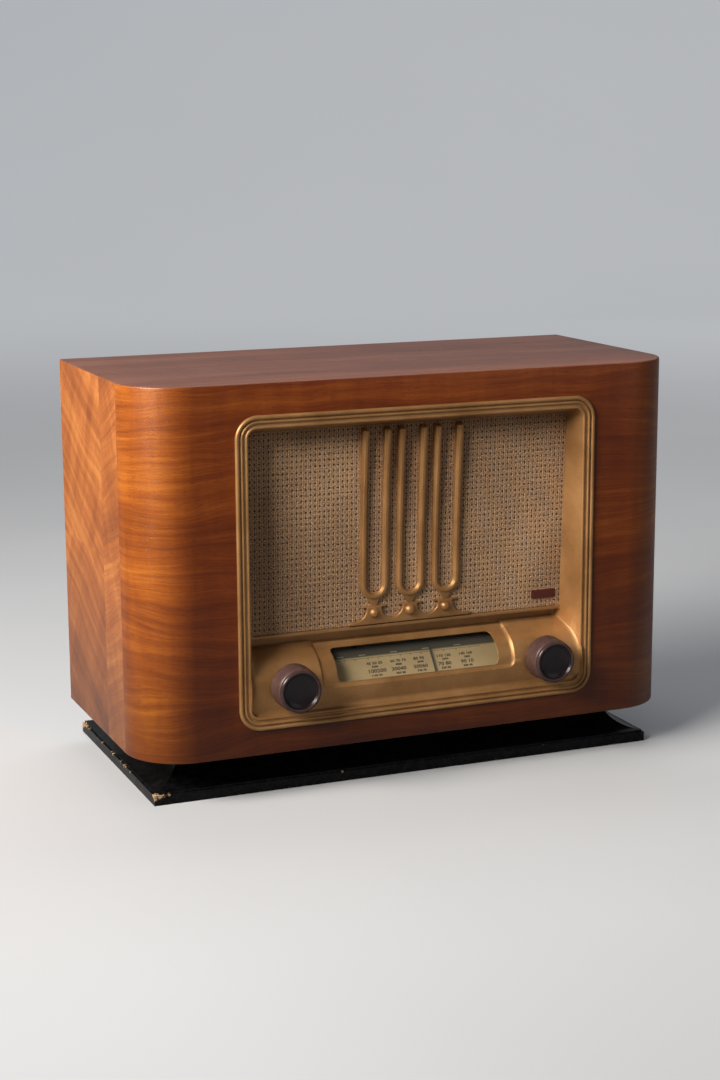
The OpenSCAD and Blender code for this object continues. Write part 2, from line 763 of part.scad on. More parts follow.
module dial_lamps() {
    color("white", 0.5) for (side = [-1, 1]) translate([side * lamp_x, front_y + cord_depth - 0.5, lamp_z])
        rotate([90, 0, 0]) rotate_extrude() intersection() {
            union() {
                square([3.6, 4]);
                translate([0, 5]) circle(4.4);
            }
            square([5, 20]);
        }
}

// Half section of a knob: radius, and height from its back
module knob_section() {
    ring_w = 2.4;
    polygon([
        [shaft_r + run_gap, 0], [6, 0], [6, 1.5], [knob_r - 2.6, 1.5], [knob_r - 2.6, 0], [knob_r, 0],
        [knob_r, knob_d - 5.4], [knob_r - 0.5, knob_d - 3.6], [knob_front_r - 0.3, knob_d - 3.1],
        [knob_front_r - 0.3, knob_d - 2.5], [knob_front_r, knob_d - 2.1], [knob_front_r - 0.5, knob_d - 0.4],
        [knob_front_r - 1.2, knob_d], [knob_front_r - ring_w, knob_d - 0.5], [knob_front_r - ring_w - 0.7, knob_d - 1.9],
        [knob_front_r * 0.45, knob_d - 2.7], [0, knob_d - 2.9], [0, knob_d - 7], [shaft_r + run_gap, knob_d - 7]
    ]);
}

module knob(x) {
    color(bakelite) translate([x, front_y + knob_y, shaft_z]) rotate([90, 0, 0]) rotate_extrude() knob_section();
}

shaft_tip = -knob_gap - knob_d + 7.4;

module tuning_knob() {
    knob(knob_x);
}

module volume_knob() {
    knob(-knob_x);
}

// Grooved wheel along Y: flange radius, groove radius, bore and thickness, in the cord's plane
module grooved_wheel(x, z, flange_r, groove_r, bore_r, thick) {
    translate([x, drive_y, z]) rotate([90, 0, 0]) rotate_extrude() polygon([
        [bore_r, -thick / 2], [flange_r, -thick / 2], [flange_r, -thick / 2 + 0.8], [groove_r, -1.2],
        [groove_r, 1.2], [flange_r, thick / 2 - 0.8], [flange_r, thick / 2], [bore_r, thick / 2]
    ]);
}

module tuning_spindle() {
    color(steel) {
        spigot(knob_x, shaft_z, shaft_r, shaft_tip, chassis_setback + 9);
        grooved_wheel(knob_x, shaft_z, spindle_r + 1.6, spindle_r - cord_r - lay_gap, shaft_r - 0.5, 5);
    }
}

// Threaded bush with its nut, holding a control shaft in the chassis front
module bush(x, a) {
    difference() {
        union() {
            spigot(x, shaft_z, bush_r, a, chassis_setback + 5);
            spigot(x, shaft_z, bush_r + 2, chassis_setback - 1.5, chassis_setback);
        }
        spigot(x, shaft_z, shaft_r + run_gap, a - 1, chassis_setback + 6);
    }
}

module spindle_bush() {
    color("goldenrod") bush(knob_x, cord_depth + 3.4);
}

// Angle of the common tangent of two wheels from centre a, radius ra, to centre b, radius rb; side is 1 or -1,
// and rb is negative where the cord crosses between them
function tangent_angle(a, ra, b, rb, side) =
    let (d = b - a) atan2(d[1], d[0]) + side * acos((ra - rb) / norm(d));

// Outline of the closed run round the two pulleys and the spindle, widened by grow, as [x, z]
module cord_loop(grow) {
    left = [-idler_x, idler_z];
    right = [idler_span - idler_x, idler_z];
    spindle = [knob_x, shaft_z];
    a = tangent_angle(left, idler_r, spindle, spindle_r, -1);
    b = tangent_angle(spindle, spindle_r, right, idler_r, -1);
    na = [cos(a), sin(a)];
    nb = [cos(b), sin(b)];
    wheel = idler_r + grow;
    for (p = [left, right]) translate(p) circle(wheel);
    translate(spindle) circle(spindle_r + grow);
    polygon([
        left + [0, wheel], left, left + wheel * na, spindle + (spindle_r + grow) * na, spindle,
        spindle + (spindle_r + grow) * nb, right + wheel * nb, right, right + [0, wheel]
    ]);
}

// The cord runs from pulley to pulley past the drum's foot and back below the spindle;
// its turns round the drum and the spindle lie beside that run
module drive_cord() {
    side = cord_depth - cord_shift;
    color("khaki") {
        from_front(side - cord_r, side + cord_r) difference() {
            cord_loop(cord_r);
            cord_loop(-cord_r);
        }
        for (w = [[gang_x, drum_z, drum_r], [knob_x, shaft_z, spindle_r]])
            from_front(side + 2 * cord_shift - cord_r, side + 2 * cord_shift + cord_r) translate([w[0], w[1]]) difference() {
                circle(w[2] + cord_r);
                circle(w[2] - cord_r);
            }
    }
}

module idler_pulley(x) {
    color("ivory") grooved_wheel(x, idler_z, idler_r + 1.4, idler_r - cord_r - lay_gap, 2 + run_gap, 5);
}

module left_pulley() {
    idler_pulley(-idler_x);
}

module right_pulley() {
    idler_pulley(idler_span - idler_x);
}

module drive_drum() {
    color("ivory") difference() {
        union() {
            grooved_wheel(gang_x, drum_z, drum_r + 1.6, drum_r - cord_r - lay_gap, shaft_r + run_gap, 5);
            spigot(gang_x, drum_z, 8, cord_depth - 2.5, cord_depth + 7);
        }
        spigot(gang_x, drum_z, shaft_r + run_gap, cord_depth - 4, cord_depth + 8);
        for (a = [0 : 60 : 300]) translate([gang_x, 0, drum_z]) rotate([0, a, 0]) translate([drum_r * 0.58, 0, 0])
            spigot(0, 0, drum_r * 0.2, cord_depth - 4, cord_depth + 4);
    }
}

gang_half_w = vane_r + 6;
section_ys = [gang_y + 7, gang_y + gang_l / 2 + 4];

module capacitor_frame() {
    plate_t = 2;
    shelf_z = drum_z - vane_r - 8;
    color(steel) difference() {
        union() {
            for (y = [gang_y, gang_y + gang_l - plate_t]) translate([gang_x - gang_half_w, y, chassis_z])
                cube([2 * gang_half_w, plate_t, drum_z + vane_r - 6 - chassis_z]);
            translate([gang_x - gang_half_w, gang_y, shelf_z]) cube([2 * gang_half_w, gang_l, plate_t]);
        }
        translate([gang_x, gang_y - 1, drum_z]) rotate([-90, 0, 0]) cylinder(r = shaft_r + run_gap, h = gang_l + 2);
    }
}

// Fixed plates between the moving ones, carried on two bars
module capacitor_stator() {
    color("gainsboro") {
        for (y0 = section_ys, i = [0 : vane_count - 2]) translate([gang_x, y0 + vane_pitch * (i + 0.5) + 1.2, drum_z])
            rotate([90, 0, 0]) linear_extrude(0.9) difference() {
                translate([-vane_r - 2.5, -vane_r + 1]) square([vane_r + 1.5, 2 * vane_r - 2]);
                circle(shaft_r + 3);
            }
        for (z = [-1, 1]) translate([gang_x - vane_r - 1.5, gang_y + 2, drum_z + z * (vane_r - 4)]) rotate([-90, 0, 0])
            cylinder(r = 1.2, h = gang_l - 4);
    }
}

module capacitor_rotor() {
    color("gainsboro") {
        spigot(gang_x, drum_z, shaft_r, cord_depth - 4, chassis_setback + 12 + gang_l + 2);
        for (y0 = section_ys, i = [0 : vane_count - 1]) translate([gang_x, y0 + vane_pitch * i + 1.2, drum_z])
            rotate([90, 0, 0]) linear_extrude(0.9) rotate(90 + vane_turn) intersection() {
                circle(vane_r);
                union() {
                    translate([-vane_r, 0]) square([2 * vane_r, vane_r]);
                    circle(shaft_r + 2);
                }
            }
    }
}

module volume_shaft() {
    color(steel) spigot(-knob_x, shaft_z, shaft_r, shaft_tip, chassis_setback + 12);
}

module volume_control() {
    color("dimgray") difference() {
        union() {
            bush(-knob_x, chassis_setback - 6);
            spigot(-knob_x, shaft_z, 12, chassis_setback + sheet_t, chassis_setback + 13);
        }
        spigot(-knob_x, shaft_z, shaft_r + run_gap, 0, chassis_setback + 12.2);
    }
}

left_end = -chassis_w / 2;
transformer_x = left_end + 42;
filter_x = left_end + 102;
output_x = left_end + 130;
valve_places = [for (i = [0 : 3]) [left_end + 140 + i * valve_pitch, 42]];
can_places = [[chassis_w / 2 - 82, 52], [left_end + 230, 4]];
valve_y = chassis_y + 82;

// Deck of the chassis
module chassis() {
    half_w = chassis_w / 2;
    color(steel) difference() {
        translate([-half_w, chassis_y, chassis_z - sheet_t]) cube([chassis_w, chassis_d, sheet_t]);
        for (side = [-1, 1]) spigot(side * lamp_x, lamp_z, 3, chassis_setback - 2, chassis_setback + 3);
        for (p = valve_places) translate([p[0], valve_y + p[1] - 42, chassis_z - 3]) cylinder(r = valve_base_r - 4, h = 5);
    }
}

// Front and back walls welded under the deck's edges
module chassis_walls() {
    half_w = chassis_w / 2;
    color(steel) difference() {
        for (y = [chassis_y, chassis_y + chassis_d - sheet_t])
            translate([-half_w, y, floor_z]) cube([chassis_w, sheet_t, chassis_h - sheet_t]);
        for (side = [-1, 1]) spigot(side * knob_x, shaft_z, bush_r, chassis_setback - 2, chassis_setback + 3);
        for (side = [-1, 1]) spigot(side * lamp_x, lamp_z, 3, chassis_setback - 2, chassis_setback + 3);
        for (i = [-1.5 : 1.5]) spigot(socket_x + i * socket_pitch, socket_z, socket_r + 1, chassis_setback + chassis_d - 3, chassis_setback + chassis_d + 1);
        spigot(grommet_x, socket_z, lead_r + 2, chassis_setback + chassis_d - 3, chassis_setback + chassis_d + 1);
    }
}

// End plates welded between the walls, with feet turned in for the bolts
module chassis_ends() {
    half_w = chassis_w / 2;
    inner_d = chassis_d - 2 * sheet_t;
    color(steel) difference() {
        for (side = [-1, 1]) {
            translate([side * (half_w - sheet_t / 2) - sheet_t / 2, chassis_y + sheet_t, floor_z]) cube([sheet_t, inner_d, chassis_h - sheet_t]);
            translate([side * (half_w - 8) - 8, chassis_y + sheet_t, floor_z]) cube([16, inner_d, sheet_t]);
        }
        for (x = bolt_xs, y = bolt_ys) translate([x, y, floor_z - 1]) cylinder(r = bolt_r + screw_gap, h = 5);
    }
}

module chassis_bolts() {
    color(steel) for (x = bolt_xs, y = bolt_ys) {
        translate([x, y, base_h + 1]) cylinder(r = bolt_r, h = board_t + sheet_t + 3);
        translate([x, y, base_h + 0.5]) cylinder(r = 2 * bolt_r, h = 2.5);
        translate([x, y, floor_z + sheet_t]) cylinder(r = 1.8 * bolt_r, h = 3, $fn = 6);
    }
}

module valve_bases() {
    color(bakelite) for (p = valve_places) translate([p[0], valve_y + p[1] - 42, chassis_z]) {
        cylinder(r = valve_base_r, h = 4);
        cylinder(r = valve_base_r - 1.5, h = 22);
    }
}

// Envelope of a valve as [radius, height], drawn in by inset
module envelope(inset) {
    intersection() {
        union() {
            translate([0, inset]) square([valve_r - inset, valve_h - valve_r - 22 - inset]);
            translate([0, valve_h - valve_r - 22]) circle(valve_r - inset);
        }
        square([valve_r, valve_h]);
    }
}

module valve(p) {
    color("lightcyan", 0.5) translate([p[0], valve_y + p[1] - 42, chassis_z + 22]) rotate_extrude() difference() {
        envelope(0);
        envelope(1.2);
        square([2.5, 4]);
    }
}

// Anode, two rods and mica disc of each valve, standing on a stem through the envelope's foot
module valve_electrodes() {
    color("gray") for (p = valve_places) translate([p[0], valve_y + p[1] - 42, chassis_z + 22]) {
        cylinder(r = 2.2, h = 8);
        translate([0, 0, 7]) linear_extrude(valve_h - 22 - 19) difference() {
            rounded_rect(15, 9, 4);
            rounded_rect(13, 7, 3);
        }
        translate([0, 0, 6]) cylinder(r = 10, h = 1);
        translate([0, 0, valve_h - 22 - 12]) cylinder(r = 10, h = 1);
    }
}

module rectifier_valve() {
    valve(valve_places[0]);
}

module output_valve() {
    valve(valve_places[1]);
}

module detector_valve() {
    valve(valve_places[2]);
}

module converter_valve() {
    valve(valve_places[3]);
}

module screening_cans() {
    color(steel) for (p = can_places) translate([p[0], valve_y + p[1] - 42, chassis_z]) linear_extrude(can_h)
        rounded_rect(can_w, can_w, 4);
}

module smoothing_capacitor() {
    color("lightgray") translate([filter_x, valve_y, chassis_z]) {
        cylinder(r = can_w / 2, h = can_h + 6);
        cylinder(r = can_w / 2 + 2, h = 6);
    }
}

core = [core_w, core_w * 0.7, core_w * 0.85];

module transformer_core() {
    color("dimgray") translate([transformer_x, valve_y - 4, chassis_z]) difference() {
        translate([-core[0] / 2, -core[1] / 2, 0]) cube(core);
        for (side = [-1, 1]) translate([side * core[0] / 4 - core[0] / 8, -core[1] / 2 - 1, core[2] / 6])
            cube([core[0] / 4, core[1] + 2, core[2] * 2 / 3]);
    }
}

module transformer_coil() {
    half = core[0] * 3 / 8 - lay_gap;
    color("peru") translate([transformer_x, valve_y - 4, chassis_z]) difference() {
        translate([-half, -core[1] / 2 - 11, core[2] / 6 + lay_gap]) cube([2 * half, core[1] + 22, core[2] * 2 / 3 - 2 * lay_gap]);
        translate([-core[0] / 8, -core[1] / 2, 0]) cube([core[0] / 4, core[1], core[2]]);
    }
}

module output_transformer() {
    color("dimgray") translate([output_x, valve_y - 44, chassis_z]) scale(core_w / 66) {
        translate([-20, -15, 0]) cube([40, 30, 34]);
        translate([-13, -22, 6]) cube([26, 44, 22]);
    }
}

module socket_strip() {
    strip_t = 9;
    color(bakelite) difference() {
        from_front(chassis_setback + chassis_d, chassis_setback + chassis_d + strip_t)
            translate([socket_x, socket_z]) rounded_rect(4 * socket_pitch + 14, 18, 3);
        for (i = [-1.5 : 1.5]) spigot(socket_x + i * socket_pitch, socket_z, socket_r, chassis_setback + chassis_d - 1, chassis_setback + chassis_d + strip_t + 1);
    }
}

module mains_grommet() {
    mid = chassis_setback + chassis_d - sheet_t / 2;
    color("black") translate([grommet_x, front_y + mid, socket_z]) rotate([-90, 0, 0]) rotate_extrude() polygon([
        [lead_r, -3.6], [lead_r + 4.4, -3.6], [lead_r + 4.4, -sheet_t / 2], [lead_r + 2, -sheet_t / 2],
        [lead_r + 2, sheet_t / 2], [lead_r + 4.4, sheet_t / 2], [lead_r + 4.4, 3.6], [lead_r, 3.6]
    ]);
}

// Frame of the loudspeaker: its axis is Y, from the baffle's back
module on_speaker() {
    on_lean() translate([0, cloth_t + baffle_t, speaker_z]) children();
}

module speaker_turn() {
    on_speaker() rotate([-90, 0, 0]) rotate_extrude() children();
}

cone_t = 1;
neck_r = 15;

module speaker_basket() {
    wall = 1.5;
    color("dimgray") difference() {
        speaker_turn() polygon([
            [speaker_r - 10, 0], [speaker_r, 0], [speaker_r, wall], [speaker_r - 7, wall], [magnet_r + 2, basket_d],
            [neck_r + 3, basket_d], [neck_r + 3, basket_d - wall], [magnet_r + 1, basket_d - wall], [speaker_r - 10, 2.5]
        ]);
        for (a = [0 : 60 : 300]) on_speaker() rotate([0, a, 0]) translate([0, 13, 42])
            cube([30, 15, 60], center = true);
        for (a = [45 : 90 : 315]) on_speaker() rotate([0, a, 0]) translate([speaker_r - 4, -1, 0])
            rotate([-90, 0, 0]) cylinder(r = screw_r + screw_gap, h = 5);
    }
}

module speaker_cone() {
    rim = speaker_r - 11;
    color("dimgray") speaker_turn() polygon([
        [rim, 0.6], [rim, 1.6], [rim - 3, 2.6], [neck_r, basket_d - 10], [neck_r, basket_d + 4],
        [neck_r - cone_t, basket_d + 4], [neck_r - cone_t, basket_d - 11], [rim - 4, 1.4], [rim - 2, 0.6]
    ]);
}

module speaker_magnet() {
    color("slategray") difference() {
        speaker_turn() polygon([
            [0, basket_d + 6], [neck_r - cone_t - 1, basket_d + 6], [neck_r - cone_t - 1, basket_d], [neck_r - cone_t - 1, basket_d],
            [neck_r + 1, basket_d], [magnet_r, basket_d], [magnet_r, basket_d + magnet_l], [0, basket_d + magnet_l]
        ]);
        speaker_turn() polygon([
            [neck_r - cone_t - 1, basket_d - 1], [neck_r + 1, basket_d - 1], [neck_r + 1, basket_d + 8], [neck_r - cone_t - 1, basket_d + 8]
        ]);
    }
}

module speaker_screws() {
    color(steel) for (a = [45 : 90 : 315]) on_speaker() rotate([0, a, 0]) translate([speaker_r - 4, 0, 0])
        rotate([-90, 0, 0]) {
            translate([0, 0, -5]) cylinder(r = screw_r, h = 7.5);
            translate([0, 0, 1.5]) cylinder(r = 3, h = 2);
        }
}

// Perforated back with openings for the sockets and the mains lead
module back_cover() {
    half_w = inner_half_w - lay_gap;
    cover_h = ceiling_z - floor_z - 2 * lay_gap;
    rows = 4;
    columns = 19;
    from_depth = cabinet_d - cover_recess - cover_t;
    color("saddlebrown") difference() {
        from_front(from_depth, from_depth + cover_t) difference() {
            translate([-half_w, floor_z + lay_gap]) square([2 * half_w, cover_h]);
            for (i = [0 : columns - 1], j = [0 : rows - 1])
                translate([(i - (columns - 1) / 2) * 4 * vent_w, ceiling_z - 42 - j * (vent_l + 10)])
                    rounded_rect(vent_w, vent_l, vent_w / 2 - 0.01);
            translate([socket_x, socket_z]) rounded_rect(4 * socket_pitch + 22, 26, 5);
            translate([grommet_x, socket_z]) circle(lead_r + 7);
            for (x = rail_xs, z = screw_zs) translate([x, z]) circle(screw_r + screw_gap);
        }
    }
}

module back_screws() {
    color(steel) for (x = rail_xs, z = screw_zs) translate([x, cover_y, z]) rotate([-90, 0, 0]) {
        translate([0, 0, -8]) cylinder(r = screw_r, h = cover_t + 8);
        translate([0, 0, cover_t]) cylinder(r = 2 * screw_r, h = 1.6);
    }
}

cabinet_wrap();
cabinet_top();
cabinet_floor();
corner_blocks();
back_rails();
plinth_plate();
plinth_cove();
front_moulding();
grille_hoops();
grille_cloth();
badge_plate();
baffle_board();
baffle_wedges();
dial_glass();
dial_scale();
dial_pointer();
pointer_rail();
dial_bracket();
lamp_holders();
dial_lamps();
tuning_knob();
tuning_spindle();
spindle_bush();
drive_cord();
left_pulley();
right_pulley();
drive_drum();
capacitor_frame();
capacitor_stator();
capacitor_rotor();
volume_knob();
volume_shaft();
volume_control();
chassis();
chassis_walls();
chassis_ends();
chassis_bolts();
valve_bases();
converter_valve();
detector_valve();
output_valve();
rectifier_valve();
valve_electrodes();
screening_cans();
smoothing_capacitor();
transformer_core();
transformer_coil();
output_transformer();
socket_strip();
mains_grommet();
speaker_basket();
speaker_cone();
speaker_magnet();
speaker_screws();
back_cover();
back_screws();
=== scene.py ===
import random
from itertools import accumulate
from math import asin, atan, atan2, copysign, cos, hypot, pi, prod, radians, sin, sqrt, tan

import bmesh
import bpy
from mathutils import Matrix, Vector


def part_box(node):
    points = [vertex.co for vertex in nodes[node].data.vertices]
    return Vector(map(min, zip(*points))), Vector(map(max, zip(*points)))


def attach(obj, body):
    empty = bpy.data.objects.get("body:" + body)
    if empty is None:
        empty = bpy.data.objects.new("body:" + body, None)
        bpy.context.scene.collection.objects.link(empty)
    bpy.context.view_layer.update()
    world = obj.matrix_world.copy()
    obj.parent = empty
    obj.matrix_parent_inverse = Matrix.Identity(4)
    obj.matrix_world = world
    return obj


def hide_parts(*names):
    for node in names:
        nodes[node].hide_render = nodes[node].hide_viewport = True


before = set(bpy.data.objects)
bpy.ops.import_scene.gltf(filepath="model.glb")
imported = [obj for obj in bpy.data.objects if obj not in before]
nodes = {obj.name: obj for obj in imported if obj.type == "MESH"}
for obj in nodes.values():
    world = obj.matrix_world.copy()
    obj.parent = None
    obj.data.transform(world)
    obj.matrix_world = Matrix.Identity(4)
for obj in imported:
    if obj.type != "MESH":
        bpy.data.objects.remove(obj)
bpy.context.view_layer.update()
scene = bpy.context.scene
mm = 0.001
random.seed(7)


# Shader helpers: every pattern is built from these few steps.
# A node joins the tree of the first socket that feeds it.
def step(kind, inputs, tree=None, **settings):
    feeds = [value for value in inputs.values() if isinstance(value, bpy.types.NodeSocket)]
    made = (tree or feeds[0].id_data).nodes.new(kind)
    for name, value in settings.items():
        setattr(made, name, value)
    for key, value in inputs.items():
        plug(made.inputs[key], value)
    return made


def plug(socket, value):
    if isinstance(value, bpy.types.NodeSocket):
        socket.id_data.links.new(value, socket)
    elif isinstance(value, (tuple, list)) and socket.type == "RGBA":
        socket.default_value = (*value[:3], 1)
    else:
        socket.default_value = value


def newFinish(name, **sockets):
    material = bpy.data.materials.new(name)
    material.use_nodes = True
    shader = material.node_tree.nodes["Principled BSDF"]
    for key, value in sockets.items():
        plug(shader.inputs[key.replace("_", " ")], value)
    return material, shader


def coordsOf(shader, kind="Object"):
    return step("ShaderNodeTexCoord", {}, shader.id_data).outputs[kind]


# Noise; one number as its scale counts for all three directions
def clouds(coords, scale, detail, rough=0.55, shift=(0, 0, 0), warp=0.0):
    scale = scale if isinstance(scale, tuple) else (scale,) * 3
    mapped = step("ShaderNodeMapping", {"Vector": coords, "Scale": scale, "Location": shift})
    return step("ShaderNodeTexNoise", {
        "Vector": mapped.outputs[0], "Scale": 1.0, "Detail": detail, "Roughness": rough, "Distortion": warp,
    }).outputs["Fac"]


def axisOf(coords, axis):
    return step("ShaderNodeSeparateXYZ", {"Vector": coords}).outputs[axis]


def calc(operation, a, b=0.0, clamp=False):
    return step("ShaderNodeMath", {0: a, 1: b}, operation=operation, use_clamp=clamp).outputs[0]


def times(a, b):
    return calc("MULTIPLY", a, b)


# The sum of (value, weight) pairs
def weigh(*pairs):
    total = None
    for value, weight in pairs:
        share = times(value, weight)
        total = share if total is None else calc("ADD", total, share)
    return total


def rescale(value, low, high, toLow=0.0, toHigh=1.0, smooth=False):
    return step("ShaderNodeMapRange", {
        "Value": value, "From Min": low, "From Max": high, "To Min": toLow, "To Max": toHigh,
    }, interpolation_type="SMOOTHSTEP" if smooth else "LINEAR").outputs[0]


def shades(factor, *stops):
    made = step("ShaderNodeValToRGB", {"Fac": factor})
    points = made.color_ramp.elements
    while len(points) < len(stops):
        points.new(0.5)
    for point, (place, color) in zip(points, stops):
        point.position = place
        point.color = (*color, 1)
    return made.outputs["Color"]


def blendColor(factor, a, b, how="MIX"):
    return step("ShaderNodeMix", {0: factor, 6: a, 7: b}, data_type="RGBA", blend_type=how).outputs[2]


def tint(shader, color):
    plug(shader.inputs["Base Color"], color)


def relief(shader, height, distance, onto=None):
    inputs = {"Height": height, "Distance": distance, "Strength": 1.0}
    if onto is not None:
        inputs["Normal"] = onto
    plug(shader.inputs["Normal"], step("ShaderNodeBump", inputs).outputs[0])


# Mesh helpers
def slide(shape, vec, verts=None):
    bmesh.ops.translate(shape, vec=vec, verts=verts or shape.verts)


def stretch(shape, vec, verts=None):
    bmesh.ops.scale(shape, vec=vec, verts=verts or shape.verts)


def put(shape, matrix):
    bmesh.ops.transform(shape, matrix=matrix, verts=shape.verts)


def weld(shape, dist):
    bmesh.ops.remove_doubles(shape, verts=shape.verts, dist=dist)


def blockOf(low, high):
    shape = bmesh.new()
    bmesh.ops.create_cube(shape, size=1)
    stretch(shape, Vector(high) - Vector(low))
    slide(shape, (Vector(low) + Vector(high)) / 2)
    return shape


def edgesIn(things):
    return [thing for thing in things if isinstance(thing, bmesh.types.BMEdge)]


def vertsIn(things):
    return [thing for thing in things if isinstance(thing, bmesh.types.BMVert)]


def wholeOf(shape):
    return shape.verts[:] + shape.edges[:] + shape.faces[:]


def faceOut(shape):
    bmesh.ops.recalc_face_normals(shape, faces=shape.faces)


def openEdges(shape):
    return sum(1 for edge in shape.edges if not edge.is_manifold)


def roundEdges(shape, wanted, radius, segments):
    edges = [edge for edge in shape.edges if wanted(*(vert.co for vert in edge.verts))]
    bmesh.ops.bevel(shape, geom=edges, offset=radius, offset_type="OFFSET", affect="EDGES",
                    segments=segments, profile=0.5, material=-1)


def placed(made):
    scene.collection.objects.link(made)
    return made


def finalMesh(made):
    return made.evaluated_get(bpy.context.evaluated_depsgraph_get()).to_mesh()


def loose(name, shape):
    mesh = bpy.data.meshes.new(name)
    shape.to_mesh(mesh)
    shape.free()
    return placed(bpy.data.objects.new(name, mesh))


def combine(shape, other, how="DIFFERENCE", solver="EXACT"):
    whole, tool = loose("whole", shape), loose("tool", other)
    cut = whole.modifiers.new("cut", "BOOLEAN")
    cut.object, cut.solver, cut.operation = tool, solver, how
    left = bmesh.new()
    left.from_mesh(finalMesh(whole))
    for made in (whole, tool):
        bpy.data.objects.remove(made)
    return left


def addPiece(name, shape, materials, sharpFrom=None, instead=(), body="receiver"):
    piece = loose(name, shape)
    for material in materials:
        piece.data.materials.append(material)
    if sharpFrom is not None:
        piece.data.shade_smooth()
        piece.data.set_sharp_from_angle(angle=radians(sharpFrom))
    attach(piece, body)
    if instead:
        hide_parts(*instead)
    return piece


def paint(material, *names):
    for name in names:
        nodes[name].data.materials.clear()
        nodes[name].data.materials.append(material)


# Walnut veneer under satin lacquer. The grain map holds metres along and across the grain.
veneers = {
    "walnutFront": {
        "dark": (0.12, 0.022, 0.003), "middle": (0.29, 0.070, 0.007), "light": (0.55, 0.175, 0.018),
        "streak": 1.0, "flame": 0.16, "shift": 0.0,
    },
    "walnutSide": {
        "dark": (0.14, 0.032, 0.007), "middle": (0.36, 0.105, 0.020), "light": (0.62, 0.235, 0.055),
        "streak": 0.9, "flame": 0.3, "shift": 0.37,
    },
    "walnutTop": {
        "dark": (0.085, 0.027, 0.016), "middle": (0.155, 0.055, 0.032), "light": (0.23, 0.095, 0.058),
        "streak": 1.1, "flame": 0.08, "shift": 0.83,
    },
}
cabinet = {
    "cornerRadius": 46 * mm, "cornerSteps": 28, "hollowSteps": 20, "wall": 10 * mm, "board": 12 * mm,
    "topArris": 1.5 * mm, "footArris": 0.9 * mm, "overcut": 20 * mm, "openingInset": 7 * mm,
    "openingRadius": 11 * mm, "openingOvercut": 10 * mm, "seamHeight": 182.5 * mm, "seamPlace": -14 * mm,
    "sideGrain": radians(-27), "upperLeaf": (0.1, 0), "lowerLeaf": (0.9, 0.5), "rearLeaf": 1.7,
    "topLeaf": (0.2, 2.0), "topStretch": 1.2, "sharpFrom": 32,
    # painted shade on the flat front, which the side light only grazes: its colour factor, full up to the first
    # distance from the middle and gone by the second
    "frontShade": (0.50, 0.38, 0.34), "frontShadeFrom": 178 * mm, "frontShadeTo": 220 * mm,
    # painted shade towards the foot, where the key light falls off: the colour factor at the bottom, and the
    # heights where it is full and where it ends
    "paintedShade": 0.62, "paintedShadeFrom": 30 * mm, "paintedShadeTo": 180 * mm,
}


def walnut(name, dark, middle, light, streak, flame, shift):
    material, shader = newFinish(name, Roughness=0.38, Coat_Weight=0.12, Coat_Roughness=0.2,
                                       Specular_IOR_Level=0.28)
    coords = coordsOf(shader, "UV")
    drift = clouds(coords, (4, 7, 1), 2, shift=(shift, 0.3, 0))
    swing = clouds(coords, (14, 30, 1), 2, shift=(0.7, shift, 0))
    bend = weigh((calc("SUBTRACT", drift, 0.5), 0.05), (calc("SUBTRACT", swing, 0.5), 0.008))
    lift = step("ShaderNodeCombineXYZ", {"Y": bend}).outputs[0]
    bent = step("ShaderNodeVectorMath", {0: coords, 1: lift}, operation="ADD").outputs[0]
    broad = clouds(bent, (2.2, 15, 1), 3, shift=(shift, 0, 0))
    lines = clouds(bent, (5, 150, 1), 4, 0.6, shift=(shift, 0.1, 0))
    fine = clouds(bent, (26, 900, 1), 3, 0.65)
    bands = clouds(coords, (40, 6, 1), 3, 0.6, shift=(shift, shift, 0), warp=0.5)
    tone = weigh((broad, 0.5), (lines, 0.32 * streak), (fine, 0.24 * streak),
                 (calc("SUBTRACT", bands, 0.5), flame))
    mean = 0.25 + 0.28 * streak
    tone = rescale(tone, mean - 0.17, mean + 0.17)
    color = shades(tone, (0.0, dark), (0.5, middle), (1.0, light))
    pores = rescale(clouds(bent, (170, 2300, 1), 2, 0.5, shift=(0, shift, 0)), 0.58, 0.70)
    color = blendColor(times(pores, 0.5), color, [c * 0.3 for c in dark])
    # painted shade: the flat front is darkened against its rounded corners, standing in for the side light that
    # only grazes it
    if name == "walnutFront":
        along = calc("ABSOLUTE", axisOf(coords, "X"))
        shadedFront = rescale(along, cabinet["frontShadeFrom"], cabinet["frontShadeTo"], 1, 0, True)
        color = blendColor(shadedFront, color, cabinet["frontShade"], "MULTIPLY")
    # painted shade: the colour darkens towards the foot of the cabinet, standing in for the key light falling
    # off downwards
    paintedShade = rescale(axisOf(coordsOf(shader), "Z"), cabinet["paintedShadeFrom"], cabinet["paintedShadeTo"],
                    cabinet["paintedShade"], 1.0, True)
    tint(shader, blendColor(1.0, color, paintedShade, "MULTIPLY"))
    relief(shader, calc("SUBTRACT", times(lines, 0.4), pores), 0.00005)
    return material


